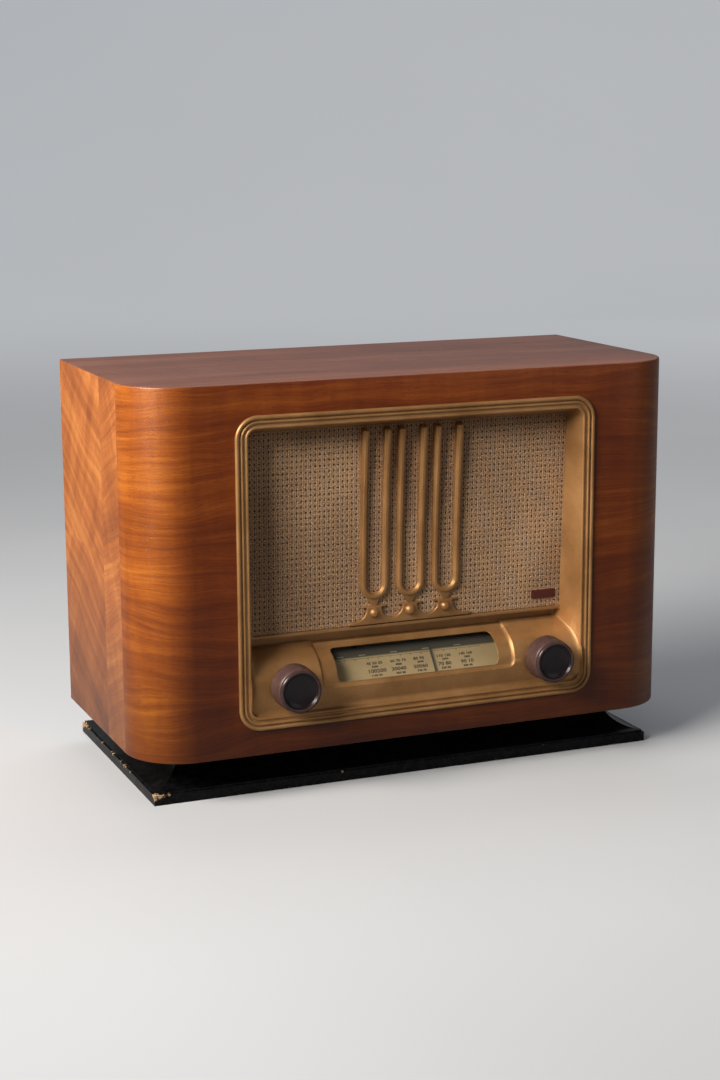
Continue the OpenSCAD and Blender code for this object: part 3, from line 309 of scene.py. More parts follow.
def cutCabinet(low, high):
    frameLow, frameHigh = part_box("front_moulding")
    corner, wall, over = cabinet["cornerRadius"], cabinet["wall"], cabinet["overcut"]
    shape = blockOf(low, high)
    roundEdges(shape, lambda a, b: abs(a.z - b.z) > 0.1 and a.y < low.y + mm, corner,
               cabinet["cornerSteps"])
    roundEdges(shape, lambda a, b: min(a.z, b.z) > high.z - 1e-5 and (a.y + b.y) / 2 < high.y - 1e-5,
               cabinet["topArris"], 3)
    roundEdges(shape, lambda a, b: max(a.z, b.z) < low.z + 1e-5 and (a.y + b.y) / 2 < high.y - 1e-5,
               cabinet["footArris"], 2)
    hollow = blockOf((low.x + wall, low.y + wall, low.z - over),
                     (high.x - wall, high.y + over, high.z - cabinet["board"]))
    roundEdges(hollow, lambda a, b: abs(a.z - b.z) > 0.1 and a.y < 0, corner - wall, cabinet["hollowSteps"])
    shape = combine(shape, hollow)
    inset, past = cabinet["openingInset"], cabinet["openingOvercut"]
    opening = blockOf((frameLow.x + inset, low.y - past, frameLow.z + inset),
                      (frameHigh.x - inset, low.y + wall + past, frameHigh.z - inset))
    roundEdges(opening, lambda a, b: abs(a.y - b.y) > 0.015, cabinet["openingRadius"], 8)
    shape = combine(shape, opening)
    seams = (((0, low.y + corner, 0), (0, 1, 0)), ((0, cabinet["seamPlace"], 0), (0, 1, 0)),
             ((0, 0, cabinet["seamHeight"]), (0, 0, 1)), ((low.x + corner, 0, 0), (1, 0, 0)),
             ((high.x - corner, 0, 0), (1, 0, 0)))
    for place, normal in seams:
        bmesh.ops.bisect_plane(shape, geom=wholeOf(shape), dist=1e-7, plane_co=place, plane_no=normal)
    return shape


def buildCabinet():
    low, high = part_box("cabinet_wrap")
    corner, wall = cabinet["cornerRadius"], cabinet["wall"]
    jointX, jointY = high.x - corner, low.y + corner
    shape = cutCabinet(low, high)
    shape.normal_update()
    grain = shape.loops.layers.uv.new("grain")

    def slotOf(middle, normal):
        inner = (low.x + wall - mm < middle.x < high.x - wall + mm and low.y + wall - mm < middle.y
                 and middle.z < high.z - mm)
        if middle.y < jointY and abs(middle.x) > jointX:
            inner = hypot(abs(middle.x) - jointX, middle.y - jointY) < corner - wall + mm
        if normal.z > 0.6 and middle.z > high.z - cabinet["board"] / 2:
            return 2
        if inner or normal.y > 0.6 or middle.z < low.z + 0.2 * mm:
            return 3
        return 1 if middle.y > jointY and abs(normal.x) > 0.5 else 0

    def sideGrain(spot, middle):
        across, up = spot.y - cabinet["seamPlace"], spot.z - cabinet["seamHeight"]
        tilt = cabinet["sideGrain"] * (1 if middle.x < 0 else -1)
        startU, startV = cabinet["lowerLeaf" if middle.z < cabinet["seamHeight"] else "upperLeaf"]
        if middle.y > cabinet["seamPlace"]:
            across = -across
            startU += cabinet["rearLeaf"]
        return (across * cos(tilt) + up * sin(tilt) + startU,
                -across * sin(tilt) + up * cos(tilt) + startV)

    def frontGrain(spot):
        bendX = max(0.0, abs(spot.x) - jointX)
        angle = asin(min(1.0, bendX / corner)) if spot.y < jointY else pi / 2
        along = min(abs(spot.x), jointX) + corner * angle + max(0.0, spot.y - jointY)
        return (along if spot.x > 0 else -along, spot.z)

    for face in shape.faces:
        middle = face.calc_center_median()
        face.material_index = slotOf(middle, face.normal)
        for loop in face.loops:
            spot = loop.vert.co
            loop[grain].uv = (
                frontGrain(spot), sideGrain(spot, middle),
                (spot.x + cabinet["topLeaf"][0], spot.y * cabinet["topStretch"] + cabinet["topLeaf"][1]),
                (spot.x, spot.y + spot.z),
            )[face.material_index]
    finishes = [walnut(name, **look) for name, look in veneers.items()] + [bareWood]
    addPiece("veneeredCabinet", shape, finishes, cabinet["sharpFrom"],
             ["cabinet_wrap", "cabinet_top"])


# Unlacquered boards inside
def makeBareWood():
    material, shader = newFinish("bareWood", Roughness=0.75)
    coords = coordsOf(shader)
    lines = clouds(coords, (12, 160, 220), 3)
    tone = weigh((lines, 0.6), (clouds(coords, (4, 9, 9), 2), 0.4))
    tint(shader, shades(tone, (0.3, (0.30, 0.18, 0.08)), (0.7, (0.55, 0.38, 0.20))))
    relief(shader, lines, 0.0001)
    return material


# Black plinth with chips that show the wood: on its left edge as [y, z, radius], on its front edge as
# [x, z, radius], all in millimetres
plinth = {
    "left": -215.5, "front": -87.5,
    "leftChips": (
        (-87, 8, 3.4), (-87.5, 4.5, 1.6), (-83, 8, 1.3), (126, 7, 4.0), (120, 8, 2.6), (114, 8, 1.6),
        (107, 8, 1.2), (64, 8, 1.4), (36, 8, 1.2), (31, 8, 1.6), (8, 8, 1.3), (-2, 8, 1.8), (-7, 8, 1.4),
        (-20, 8, 1.0),
    ),
    "frontChips": ((-212, 8, 2.2), (-208, 8, 1.5), (-203, 8, 1.0), (-60, 7.8, 0.8), (120, 7.8, 1.0)),
    "raggedness": 9 * mm, "softEdge": 0.8,
}


def makeBlackLacquer():
    material, shader = newFinish("blackLacquer", Specular_IOR_Level=0.15)
    coords = coordsOf(shader)
    dust = clouds(coords, 160, 5, 0.7)
    smears = clouds(coords, (9, 14, 9), 3)
    color = shades(dust, (0.45, (0.0025, 0.0026, 0.003)), (0.75, (0.012, 0.012, 0.013)))
    ragged = times(calc("SUBTRACT", clouds(coords, 420, 4, 0.7), 0.5), plinth["raggedness"])
    worn = None
    chips = [(plinth["left"], *chip) for chip in plinth["leftChips"]]
    chips += [(x, plinth["front"], *chip) for x, *chip in plinth["frontChips"]]
    for *place, size in chips:
        apart = step("ShaderNodeVectorMath", {0: coords, 1: [c * mm for c in place]},
                     operation="DISTANCE").outputs["Value"]
        near = rescale(calc("ADD", apart, ragged), size * plinth["softEdge"] * mm, size * mm, 1, 0)
        worn = near if worn is None else calc("MAXIMUM", worn, near)
    splinters = clouds(coords, (60, 700, 700), 3)
    wood = shades(splinters, (0.35, (0.20, 0.10, 0.045)), (0.65, (0.62, 0.44, 0.26)))
    tint(shader, blendColor(worn, color, wood))
    rough = calc("ADD", rescale(smears, 0.3, 0.7, 0.16, 0.34), times(worn, 0.5), True)
    plug(shader.inputs["Roughness"], rough)
    relief(shader, calc("SUBTRACT", times(dust, 0.1), worn), 0.0004)
    return material


# Bronze paint with fine metal flake, on the moulding and the hoops
def makeBronze():
    material, shader = newFinish("bronzePaint", Metallic=0.6)
    coords = coordsOf(shader)
    flake = clouds(coords, 2600, 2, 0.6)
    stains = clouds(coords, 26, 4, 0.6)
    tint(shader, shades(weigh((flake, 0.5), (stains, 0.5)), (0.32, (0.24, 0.108, 0.034)),
                              (0.52, (0.40, 0.205, 0.074)), (0.70, (0.53, 0.29, 0.120))))
    plug(shader.inputs["Roughness"], rescale(stains, 0.3, 0.7, 0.40, 0.54))
    soft = step("ShaderNodeBevel", {"Radius": 0.0004}, shader.id_data, samples=4).outputs[0]
    relief(shader, flake, 0.00003, soft)
    return material


# Speaker cloth: speckled threads, and a hole at every second crossing, coloured dark as painted shade from the
# cavity behind
cloth = {
    "pitchU": 3.83 * mm, "pitchV": 4.52 * mm, "dimple": 0.28 * mm, "swell": 0.15 * mm, "facesPerPitch": 4,
    "thickness": 1 * mm, "sharpFrom": 80,
}


def makeGrilleFabric():
    material, shader = newFinish("grilleFabric", Roughness=0.85, Sheen_Weight=0.25, Sheen_Roughness=0.5)
    coords = coordsOf(shader, "UV")
    turnsU = times(axisOf(coords, "X"), 2 * pi / cloth["pitchU"])
    turnsV = times(axisOf(coords, "Y"), 2 * pi / cloth["pitchV"])
    crossing = times(*(rescale(calc("COSINE", turns), -1, 1) for turns in (turnsU, turnsV)))
    uneven = rescale(clouds(coords, (260, 260, 1), 3, 0.6), 0.3, 0.7, -0.20, 0.20)
    hole = rescale(calc("ADD", crossing, uneven), 0.57, 0.84)
    ribs = rescale(calc("COSINE", times(turnsU, 2)), 1, -1)
    strands = calc("SINE", weigh((turnsV, 5), (turnsU, 3)))
    fuzz = clouds(coords, (1100, 900, 1), 2, 0.7)
    patches = rescale(clouds(coords, (14, 9, 1), 3), 0.3, 0.7, -0.05, 0.07)
    tone = weigh((ribs, 0.10), (fuzz, 1.0), (strands, 0.07), (patches, 1.0))
    color = shades(tone, (0.34, (0.078, 0.038, 0.017)), (0.55, (0.32, 0.175, 0.084)),
                   (0.76, (0.82, 0.52, 0.28)))
    # painted shade: the holes are coloured near-black for the shaded cavity that shows through them
    tint(shader, blendColor(times(hole, 0.92), color, (0.014, 0.007, 0.004)))
    height = weigh((strands, 0.2), (fuzz, 0.6), (hole, -1.2))
    relief(shader, height, 0.0002)
    return material


def buildCloth():
    low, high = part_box("grille_cloth")
    rise, run = high.z - low.z, high.y - low.y - cloth["thickness"]
    lean = atan2(run, rise)
    width, length = high.x - low.x, rise / cos(lean)
    pitchU, pitchV, parts = cloth["pitchU"], cloth["pitchV"], cloth["facesPerPitch"]
    shape = bmesh.new()
    bmesh.ops.create_grid(shape, x_segments=round(width / pitchU) * parts,
                          y_segments=round(length / pitchV) * parts, size=0.5)
    stretch(shape, (width, length, 1))
    weave = shape.loops.layers.uv.new("weave")
    for face in shape.faces:
        for loop in face.loops:
            loop[weave].uv = loop.vert.co.xy
    for vert in shape.verts:
        waves = (0.5 + 0.5 * cos(2 * pi * turn) for turn in (vert.co.x / pitchU, vert.co.y / pitchV))
        vert.co.z = cloth["swell"] - prod(waves) * cloth["dimple"]
    middle = Matrix.Translation((0, low.y + run / 2, (low.z + high.z) / 2))
    put(shape, middle @ Matrix.Rotation(pi / 2 + lean, 4, "X"))
    piece = addPiece("grilleFabric", shape, [makeGrilleFabric()],
                     cloth["sharpFrom"], ["grille_cloth"])


# Moulded front in millimetres, depths running back from the wood's front face: beads round a deep recess,
# and below the cloth a bulging control panel with a sunk dial field, a groove and a ledge.
fascia = {
    "radius": 18, "cornerSteps": 16, "band": 10.6, "draft": 0.3, "shell": 2.6, "sweepDepth": 20.0,
    "deepWall": 31.0, "deepFrom": (94.0, 102.0), "beadDepth": 0.55,
    "outerBead": ((1.75, 0.5), 1.75, 196, 0, 14), "outerDip": ((3.62, 0.40), (3.9, 0.38), (4.14, 0.46)),
    "innerBead": ((5.3, 0.8), 1.05, 190, -15, 11), "innerDip": ((6.46, 0.36), (7.1, 0.3), (7.8, 0.42)),
    "lip": ((9.3, 0.0), 1.3, 152, 0, 9), "wallShares": (0.05, 0.15, 0.4, 0.7, 1.0),
    "belly": 56.0, "bulge": 24.0, "bulgeMid": 87.0, "bulgeTurn": 62.5, "foot": 65.6, "footWall": 1.2,
    "backStep": 2.6, "slopeEnd": (27.8, 116.035), "grooveFloor": 114.435, "grooveRoof": 122.335,
    "slopeEdge": ((0.1, -0.08), (0.35, -0.35), (0.42, -0.8), (0.55, -1.35)),
    "grooveBack": 30.8, "grooveEnd": 3.15, "grooveDepth": 26, "rear": 33.4, "ledgeDepth": 21.8,
    "ledgeTop": 125.03, "ledgeFillet": 5.0,
    "panelHalf": 141.4, "plainHalf": 90, "farOff": 99.0, "fillet": 3.8,
    "easeFrom": 110, "easeOver": 5.8, "ease": 0.38, "edgeSlant": Vector((0.46, -0.887)),
    "fieldHalf": 83.6, "fieldFoot": 83.4, "fieldSink": 2.0, "fieldStep": 3.3, "fieldCorner": 6.5,
    "window": ((2.9, 86.3), (21.3, 109.8), 69.7, 4.0), "knobHole": (109.0, 90.0, 4.4),
    "clothDepth": 23.3, "clothFoot": 125.335, "clothLean": tan(radians(1.9)), "clothGap": 0.3,
    "sharpFrom": 38, "weld": 2e-6,
}


def arcOf(centre, radius, start, end, count):
    angles = (radians(start + (end - start) * k / (count - 1)) for k in range(count))
    return [(centre[0] + radius * cos(a), centre[1] + radius * sin(a)) for a in angles]


def runOf(start, pace, count):
    return [start + pace * k for k in range(count)]


def hollowArc(radius, *distances):
    gone = sum(max(0.0, radius - max(0.0, distance)) ** 2 for distance in distances)
    return radius - sqrt(max(0.0, radius ** 2 - gone))


def ringOf(shape, spots):
    verts = [shape.verts.new(spot) for spot in spots]
    return verts + [shape.edges.new(pair) for pair in zip(verts, verts[1:] + verts[:1])]


# Carries a ring of edges along a path of straight moves and turns about upright-plane axes
def carry(shape, ring, moves):
    for move in moves:
        if isinstance(move, Vector):
            made = bmesh.ops.extrude_edge_only(shape, edges=edgesIn(ring))["geom"]
            verts = vertsIn(made)
            slide(shape, move, verts)
            ring = verts + [edge for edge in edgesIn(made) if set(edge.verts) <= set(verts)]
        else:
            centre, angle, steps = move
            ring = bmesh.ops.spin(shape, geom=ring, cent=centre, axis=(0, 1, 0), angle=angle,
                                  steps=steps)["geom_last"]
    return ring


def wallDepth(z):
    if z > fascia["clothFoot"] - fascia["clothGap"] + 0.01:
        return fascia["clothDepth"] - fascia["clothGap"] - (z - fascia["clothFoot"]) * fascia["clothLean"]
    low, high = fascia["deepFrom"]
    share = min(1.0, max(0.0, (z - low) / (high - low)))
    return fascia["sweepDepth"] + (fascia["deepWall"] - fascia["sweepDepth"]) * share


def buildRim(low, high):
    half, radius = (high.x - low.x) / 2 / mm, fascia["radius"]
    bottom, top = low.z / mm, high.z / mm
    right, footZ, headZ = half - radius, bottom + radius, top - radius
    band, draft, deep = fascia["band"], fascia["draft"], fascia["sweepDepth"]
    back = band - fascia["shell"]
    section = [*arcOf(*fascia["outerBead"]), *fascia["outerDip"], *arcOf(*fascia["innerBead"]),
               *fascia["innerDip"], *arcOf(*fascia["lip"])]
    section += [(band + draft * deep * share, -deep * share) for share in fascia["wallShares"]]
    section += [(back + draft * deep, -deep), (back + draft * deep * 0.5, -deep * 0.5), (back - 0.6, -0.6),
                (back - 1.2, 0.0), (0.2, 0.0)]
    foot = fascia["clothFoot"] - fascia["clothGap"]
    rises = [footZ, *fascia["deepFrom"], foot, foot + 0.02, headZ]
    up = [Vector((0, 0, b - a)) for a, b in zip(rises, rises[1:])]
    down = [-move for move in reversed(up)]

    def corner(x, z):
        return (x, 0, z), -pi / 2, fascia["cornerSteps"]

    shape = bmesh.new()
    ring = ringOf(shape, [(right, -height, bottom + inset) for inset, height in section])
    carry(shape, ring, [corner(right, footZ), *up, corner(right, headZ), Vector((-2 * right, 0, 0)),
                        corner(-right, headZ), *down, corner(-right, footZ), Vector((2 * right, 0, 0))])
    weld(shape, 0.001)
    for vert in shape.verts:
        depth = vert.co.y
        if depth > fascia["beadDepth"]:
            core = Vector((max(-right, min(right, vert.co.x)), depth, max(footZ, min(headZ, vert.co.z))))
            inward = (core - vert.co).normalized()
            spot = vert.co
            for _ in range(3):
                share = wallDepth(spot.z) / deep
                spot = vert.co + inward * draft * depth * (share - 1)
            vert.co = Vector((spot.x, depth * share, spot.z))
    faceOut(shape)
    return shape


def bulgeArc(radius, steps):
    angles = (radians(fascia["bulgeTurn"]) * k / steps for k in range(steps + 1))
    return [(fascia["bulge"] - radius * cos(a), fascia["bulgeMid"] + radius * sin(a)) for a in angles]


def panelSection():
    mid, belly, bulge, inner = (fascia[key] for key in ("bulgeMid", "belly", "bulge", "backStep"))
    floor, roof, far = fascia["grooveFloor"], fascia["grooveRoof"], fascia["grooveBack"]
    front, top, rear = fascia["ledgeDepth"], fascia["ledgeTop"], fascia["rear"]
    endD, endZ = fascia["slopeEnd"]
    heights = [*runOf(fascia["foot"], 0.45, 14), *runOf(72.0, 1.2, 9),
               *runOf(fascia["fieldFoot"] - 0.8, 0.4, 11)]
    face = [(belly - sqrt(belly ** 2 - (mid - z) ** 2), z) for z in heights if z < mid - 0.2]
    face += bulgeArc(bulge, 22)
    startD, startZ = face[-1]
    face += [(startD + (endD - 0.4 - startD) * k / 8, startZ + (endZ - 0.21 - startZ) * k / 8)
             for k in range(1, 9)]
    edge = [(endD + behind, endZ + above) for behind, above in fascia["slopeEdge"]] + [(endD + 0.9, floor)]
    groove = [(far - 0.6, floor), (far - 0.1, floor + 0.5), (far, floor + 1.4), (far, (floor + roof) / 2),
              (far, roof - 1.4), (far - 0.1, roof - 0.4), (far - 0.6, roof)]
    groove += [(far + (front + 0.5 - far) * k / 6, roof) for k in range(1, 7)]
    ledge = [(front + 0.12, roof + 0.15), (front, roof + 0.5), (front, top - 0.5), (front + 0.15, top - 0.13),
             (front + 0.5, top)]
    ledge += [(front + 0.5 + 2.2 * k, top) for k in range(1, 6)] + [(rear, top)]
    back = [(rear, floor - 2.2), (endD + 0.6, endZ - 3.2), *reversed(bulgeArc(bulge - inner, 8))]
    back += [(belly - sqrt((belly - inner) ** 2 - (mid - z) ** 2), z)
             for z in (82, 76, 71, fascia["foot"])]
    return face, edge, groove, ledge, back


def outwardOf(outline):
    normals = []
    for before, after in zip([outline[-1]] + outline[:-1], outline[1:] + [outline[0]]):
        along = Vector((after[0] - before[0], after[1] - before[1])).normalized()
        normals.append(Vector((-along.y, along.x)))
    normals[0] = normals[1]
    return normals


# How far the fillets raise a point of the face, and how far the dial field sinks it
def liftAndSink(x, depth, z, fromWall):
    fromFoot = z - (fascia["foot"] + fascia["footWall"]) - fascia["draft"] * depth
    eased = 1 - fascia["ease"] * min(1.0, max(0.0, (z - fascia["easeFrom"]) / fascia["easeOver"]))
    u, v, r = fascia["fieldHalf"] - x, z - fascia["fieldFoot"], fascia["fieldCorner"]
    inside = min(u, v) if u > r or v > r else r - hypot(r - u, r - v)
    share = min(1.0, max(0.0, inside) / fascia["fieldStep"])
    sink = fascia["fieldSink"] * (1 - (1 - share) ** 2)
    return hollowArc(fascia["fillet"], fromWall, fromFoot) * eased, sink


# A point of the groove or the ledge, which close in an arc towards the side walls
def closedIn(depth, z, fromWall, inGroove):
    near = min(1.0, fromWall / fascia["grooveEnd"])
    closing = sqrt(max(0.01, 1 - (1 - near) ** 2))
    middle, start = (fascia["grooveFloor"] + fascia["grooveRoof"]) / 2, fascia["grooveDepth"]
    spot = Vector((depth, z))
    if not inGroove and z > fascia["ledgeTop"] - 1:
        spot.y += hollowArc(fascia["ledgeFillet"], fromWall)
        return spot
    spot.y = middle + (z - middle) * closing
    if inGroove and depth > start:
        spot.x = start + (depth - start) * closing
    return spot


def buildPanel():
    parts = panelSection()
    outline = [spot for part in parts for spot in part]
    bulgeEnd, faceEnd, grooveEnd, ledgeEnd = accumulate(len(part) for part in parts[:4])
    half, plain, draft, floor = (fascia[key] for key in ("panelHalf", "plainHalf", "draft", "grooveFloor"))
    shape = bmesh.new()
    tag = shape.verts.layers.int.new("place")
    ring = ringOf(shape, [(-half, depth, z) for depth, z in outline])
    for index, vert in enumerate(ring[:len(outline)]):
        vert[tag] = index
    stations = [*runOf(-half, 0.35, 15), *runOf(-half + 6, 4, 12), *runOf(-fascia["fieldHalf"], 0.3, 13),
                *runOf(-74.0, 8, 10)]
    stations += [-x for x in reversed(stations)]
    last = carry(shape, ring, [Vector((b - a, 0, 0)) for a, b in zip(stations, stations[1:])])
    for end in (ring, last):
        cap = bmesh.ops.contextual_create(shape, geom=edgesIn(end))["faces"]
        bmesh.ops.triangulate(shape, faces=cap)
    normals = outwardOf(outline)
    for vert in shape.verts:
        index, x = vert[tag], abs(vert.co.x)
        depth, z = outline[index]
        reach = half - draft * depth
        fromWall = (half - x) / (half - plain) * (reach - plain) if x > plain else fascia["farOff"]
        spot = Vector((depth, z))
        if index < faceEnd:
            lift, sink = liftAndSink(x, depth, z, fromWall)
            if index < bulgeEnd:
                spot += normals[index] * (lift - sink)
            else:
                spot += fascia["edgeSlant"] * sink + -fascia["edgeSlant"] * lift
            if z > floor - 0.5:
                spot.y = max(spot.y, floor - 0.15)
        elif index < ledgeEnd and fromWall < fascia["farOff"]:
            spot = closedIn(depth, z, fromWall, index < grooveEnd)
        side = 1 if vert.co.x > 0 else -1
        spotX = reach - fromWall + 1.2 * max(0.0, 1 - fromWall / 3) if x > plain else x
        vert.co = Vector((side * spotX, spot.x, spot.y))
    return shape


def buildFascia():
    low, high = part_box("front_moulding")
    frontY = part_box("cabinet_wrap")[0].y
    rim, panel = buildRim(low, high), buildPanel()
    (lowD, lowZ), (highD, highZ), windowHalf, windowR = fascia["window"]
    chord = Vector((0, highD - lowD, highZ - lowZ))
    window = blockOf((-windowHalf, -14, 0), (windowHalf, 14, chord.length))
    roundEdges(window, lambda a, b: abs(a.y - b.y) > 20, windowR, 8)
    tilt = Matrix.Rotation(-atan2(chord.y, chord.z), 4, "X")
    put(window, Matrix.Translation((0, lowD, lowZ)) @ tilt)
    x, z, r = fascia["knobHole"]
    for side in (-1, 1):
        place = Matrix.Translation((side * x, 8, z)) @ Matrix.Rotation(pi / 2, 4, "X")
        bmesh.ops.create_cone(window, cap_ends=True, segments=40, radius1=r, radius2=r, depth=30,
                              matrix=place)
    whole = combine(rim, combine(panel, window), "UNION", "MANIFOLD")
    stretch(whole, (mm, mm, mm))
    slide(whole, (0, frontY, 0))
    weld(whole, fascia["weld"])
    print("open edges of the moulding", openEdges(whole))
    addPiece("mouldedFront", whole, [bronze], fascia["sharpFrom"],
             ["front_moulding"])


# Three hoops on the cloth in millimetres, [across, height off the crest], and the studs and base below them
grille = {
    "pitch": 30.8, "legX": 9.3, "arcZ": 32.3, "top": 158.5, "lift": 0.22, "round": 2.6, "footHeight": 3.4,
    "rise": 4.0, "swell": 2.6, "headDrops": (0.15, 0.3, 0.45, 0.5, 0.6, 0.6, 6), "headTo": 8.6,
    "legSteps": 12, "arcSteps": 32, "tip": 0.35,
    "section": ((-2.8, -9), (-2.8, -2.3), (-2.45, -2.15), (-2.05, -1.8), (-1.7, -1.25), (-1.45, -0.6),
                (-1.25, -0.2), (-1.0, -0.03), (-0.5, 0), (0.5, 0), (1.0, -0.03), (1.25, -0.2), (1.4, -0.6),
                (1.55, -1.05), (1.8, -1.25), (2.3, -1.3), (2.65, -1.45), (2.8, -1.8), (2.8, -9)),
    "keel": ((-9.0, 25), (-6.4, 21.7), (-4.4, 19.4), (-3.1, 17.3), (-2.6, 15.2), (2.6, 15.2), (3.1, 17.3),
             (4.4, 19.4), (6.4, 21.7), (9.0, 25), (0, 23)),
    "keelEdge": 0.5, "tick": ((-10.3, 14.0), (10.3, 14.0), (10.3, 15.4), (-10.3, 15.4)), "tickEdge": 0.35,
    "tickRise": 0.15, "studZ": 9.4, "studs": (4.1, 4.6, 4.1), "studSink": 1.5, "pillar": 6.4,
    "baseHalf": 52.5, "baseLow": 0.4, "baseTop": 3.2, "baseEdge": 0.8, "cupZ": 13.6, "pillarTop": 14.8,
    "endRadius": 10.0, "plate": 2.4, "thin": 1.7,
}


# A flat outline of [x, height] raised off the cloth, with its front edges rounded
def raised(outline, height, edge):
    shape = bmesh.new()
    ring = ringOf(shape, [(x, -grille["lift"], z) for x, z in outline])
    face = bmesh.ops.contextual_create(shape, geom=edgesIn(ring))["faces"]
    made = bmesh.ops.extrude_face_region(shape, geom=face)["geom"]
    slide(shape, (0, grille["lift"] - height, 0), vertsIn(made))
    faceOut(shape)
    front = grille["lift"] + 0.01
    roundEdges(shape, lambda a, b: a.y < -front and b.y < -front, edge, 3)
    return shape


def hoopAt(centre):
    section, top, arcZ, lift = (grille[key] for key in ("section", "top", "arcZ", "lift"))
    shape = bmesh.new()
    tag = shape.verts.layers.int.new("place")
    ring = ringOf(shape, [(centre - grille["legX"] - across, 0, top) for across, _ in section])
    for index, vert in enumerate(ring[:len(section)]):
        vert[tag] = index
    steps = grille["legSteps"]
    drops = [*grille["headDrops"], *[(top - grille["headTo"] - arcZ) / steps] * steps]
    down = [Vector((0, 0, -drop)) for drop in drops]
    bend = (centre, 0, arcZ), -pi, grille["arcSteps"]
    last = carry(shape, ring, [*down, bend, *[-move for move in reversed(down)]])
    for end in (ring, last):
        bmesh.ops.contextual_create(shape, geom=edgesIn(end))
    for vert in shape.verts:
        _, below = section[vert[tag]]
        share = max(0.0, vert.co.z - arcZ + 0.5) / (top - arcZ + 0.5)
        crest = grille["footHeight"] + grille["rise"] * share ** grille["swell"]
        height = crest + below if below > -8 else lift
        near = max(0.0, vert.co.z - top + grille["round"]) / grille["round"]
        shrink = sqrt(max(0.003, 1 - near ** 2))
        leg = centre + copysign(grille["legX"], vert.co.x - centre)
        if near > 0:
            vert.co.x = leg + (vert.co.x - leg) * (grille["tip"] + (1 - grille["tip"]) * shrink)
        vert.co.y = -(lift + (height - lift) * shrink)
    faceOut(shape)
    return shape


def grilleBase():
    pitch, pillar, end, top = (grille[key] for key in ("pitch", "pillar", "endRadius", "pillarTop"))
    half, baseTop = grille["baseHalf"], grille["baseTop"]
    right = [(half, grille["baseLow"]), (half, baseTop - 0.4)]
    right += arcOf((pitch + pillar + end, baseTop + end), end, 270, 180, 12)
    right += [(pitch + pillar, top), (pitch - pillar, top)]
    right += arcOf((pitch / 2, grille["cupZ"]), pitch / 2 - pillar, 0, -180, 25) + [(pillar, top)]
    return raised(right + [(-x, z) for x, z in reversed(right)], grille["plate"], grille["baseEdge"])


def studAt(centre, radius):
    stud = bmesh.new()
    bmesh.ops.create_uvsphere(stud, u_segments=40, v_segments=24, radius=radius)
    slide(stud, (centre, -grille["studSink"], grille["studZ"]))
    bmesh.ops.bisect_plane(stud, geom=wholeOf(stud), plane_co=(0, -grille["lift"], 0), plane_no=(0, 1, 0),
                           clear_outer=True)
    bmesh.ops.holes_fill(stud, edges=stud.edges, sides=0)
    return stud


def buildHoops():
    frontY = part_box("cabinet_wrap")[0].y / mm
    thin = grille["thin"]
    whole = grilleBase()
    for k, radius in zip((-1, 0, 1), grille["studs"]):
        centre = k * grille["pitch"]
        keel, tick = ([(centre + x, z) for x, z in grille[key]] for key in ("keel", "tick"))
        for form in (raised(keel, thin, grille["keelEdge"]),
                     raised(tick, thin + grille["tickRise"], grille["tickEdge"]),
                     hoopAt(centre), studAt(centre, radius)):
            whole = combine(whole, form, "UNION")
    lean = Matrix.Rotation(atan(fascia["clothLean"]), 4, "X")
    place = Matrix.Translation((0, frontY + fascia["clothDepth"], fascia["clothFoot"]))
    put(whole, Matrix.Scale(mm, 4) @ place @ lean)
    weld(whole, fascia["weld"])
    print("open edges of the hoops", openEdges(whole))
    addPiece("grilleHoops", whole, [bronze], fascia["sharpFrom"],
             ["grille_hoops"])


# Control knobs: ribbed flank, narrow groove, rounded front ring and a dished face.
# The outline is [radius, height from the back] in millimetres.
knob = {
    "ribs": 110, "ribDepth": 0.22 * mm, "ribFrom": 1.0, "ribTo": 14.8, "boss": 12 * mm, "bore": 11.5 * mm,
    "flankTo": 16.9, "faceRadius": 14, "faceFrom": 12, "sharpFrom": 40,
    "outline": (
        (3.2, 11.5), (3.2, 0), (15.6, 0), (17.2, 0.25), (17.8, 0.8), (17.9, 1.2), (17.5, 14.6), (17.3, 15.4),
        (16.9, 16.3), (16.3, 16.9), (15.5, 17.1), (15.4, 17.6), (15.9, 17.8), (16.5, 18.2), (16.7, 18.9),
        (16.5, 19.6), (15.9, 20.2), (15.2, 20.4), (14.5, 20.2), (14.0, 19.6), (13.8, 18.9), (13.3, 18.3),
        (12.3, 17.9), (12.0, 18.1), (11.6, 17.9), (10.5, 17.5), (7.0, 17.0), (3.5, 16.8), (0, 16.75),
    ),
}


def makeBakelite(name, colorLow, colorHigh, rough, dusty=0.0):
    material, shader = newFinish(name, Roughness=rough, Specular_IOR_Level=0.35, Coat_Weight=0.15,
                                       Coat_Roughness=0.15)
    coords = coordsOf(shader)
    color = shades(clouds(coords, 120, 3, 0.6, warp=1.5), (0.35, colorLow), (0.7, colorHigh))
    if dusty:
        grit = rescale(clouds(coords, 2200, 2, 0.7), 0.52, 0.72)
        color = blendColor(times(grit, dusty), color, (0.34, 0.24, 0.20))
    tint(shader, color)
    relief(shader, clouds(coords, 900, 3), 0.00002)
    return material


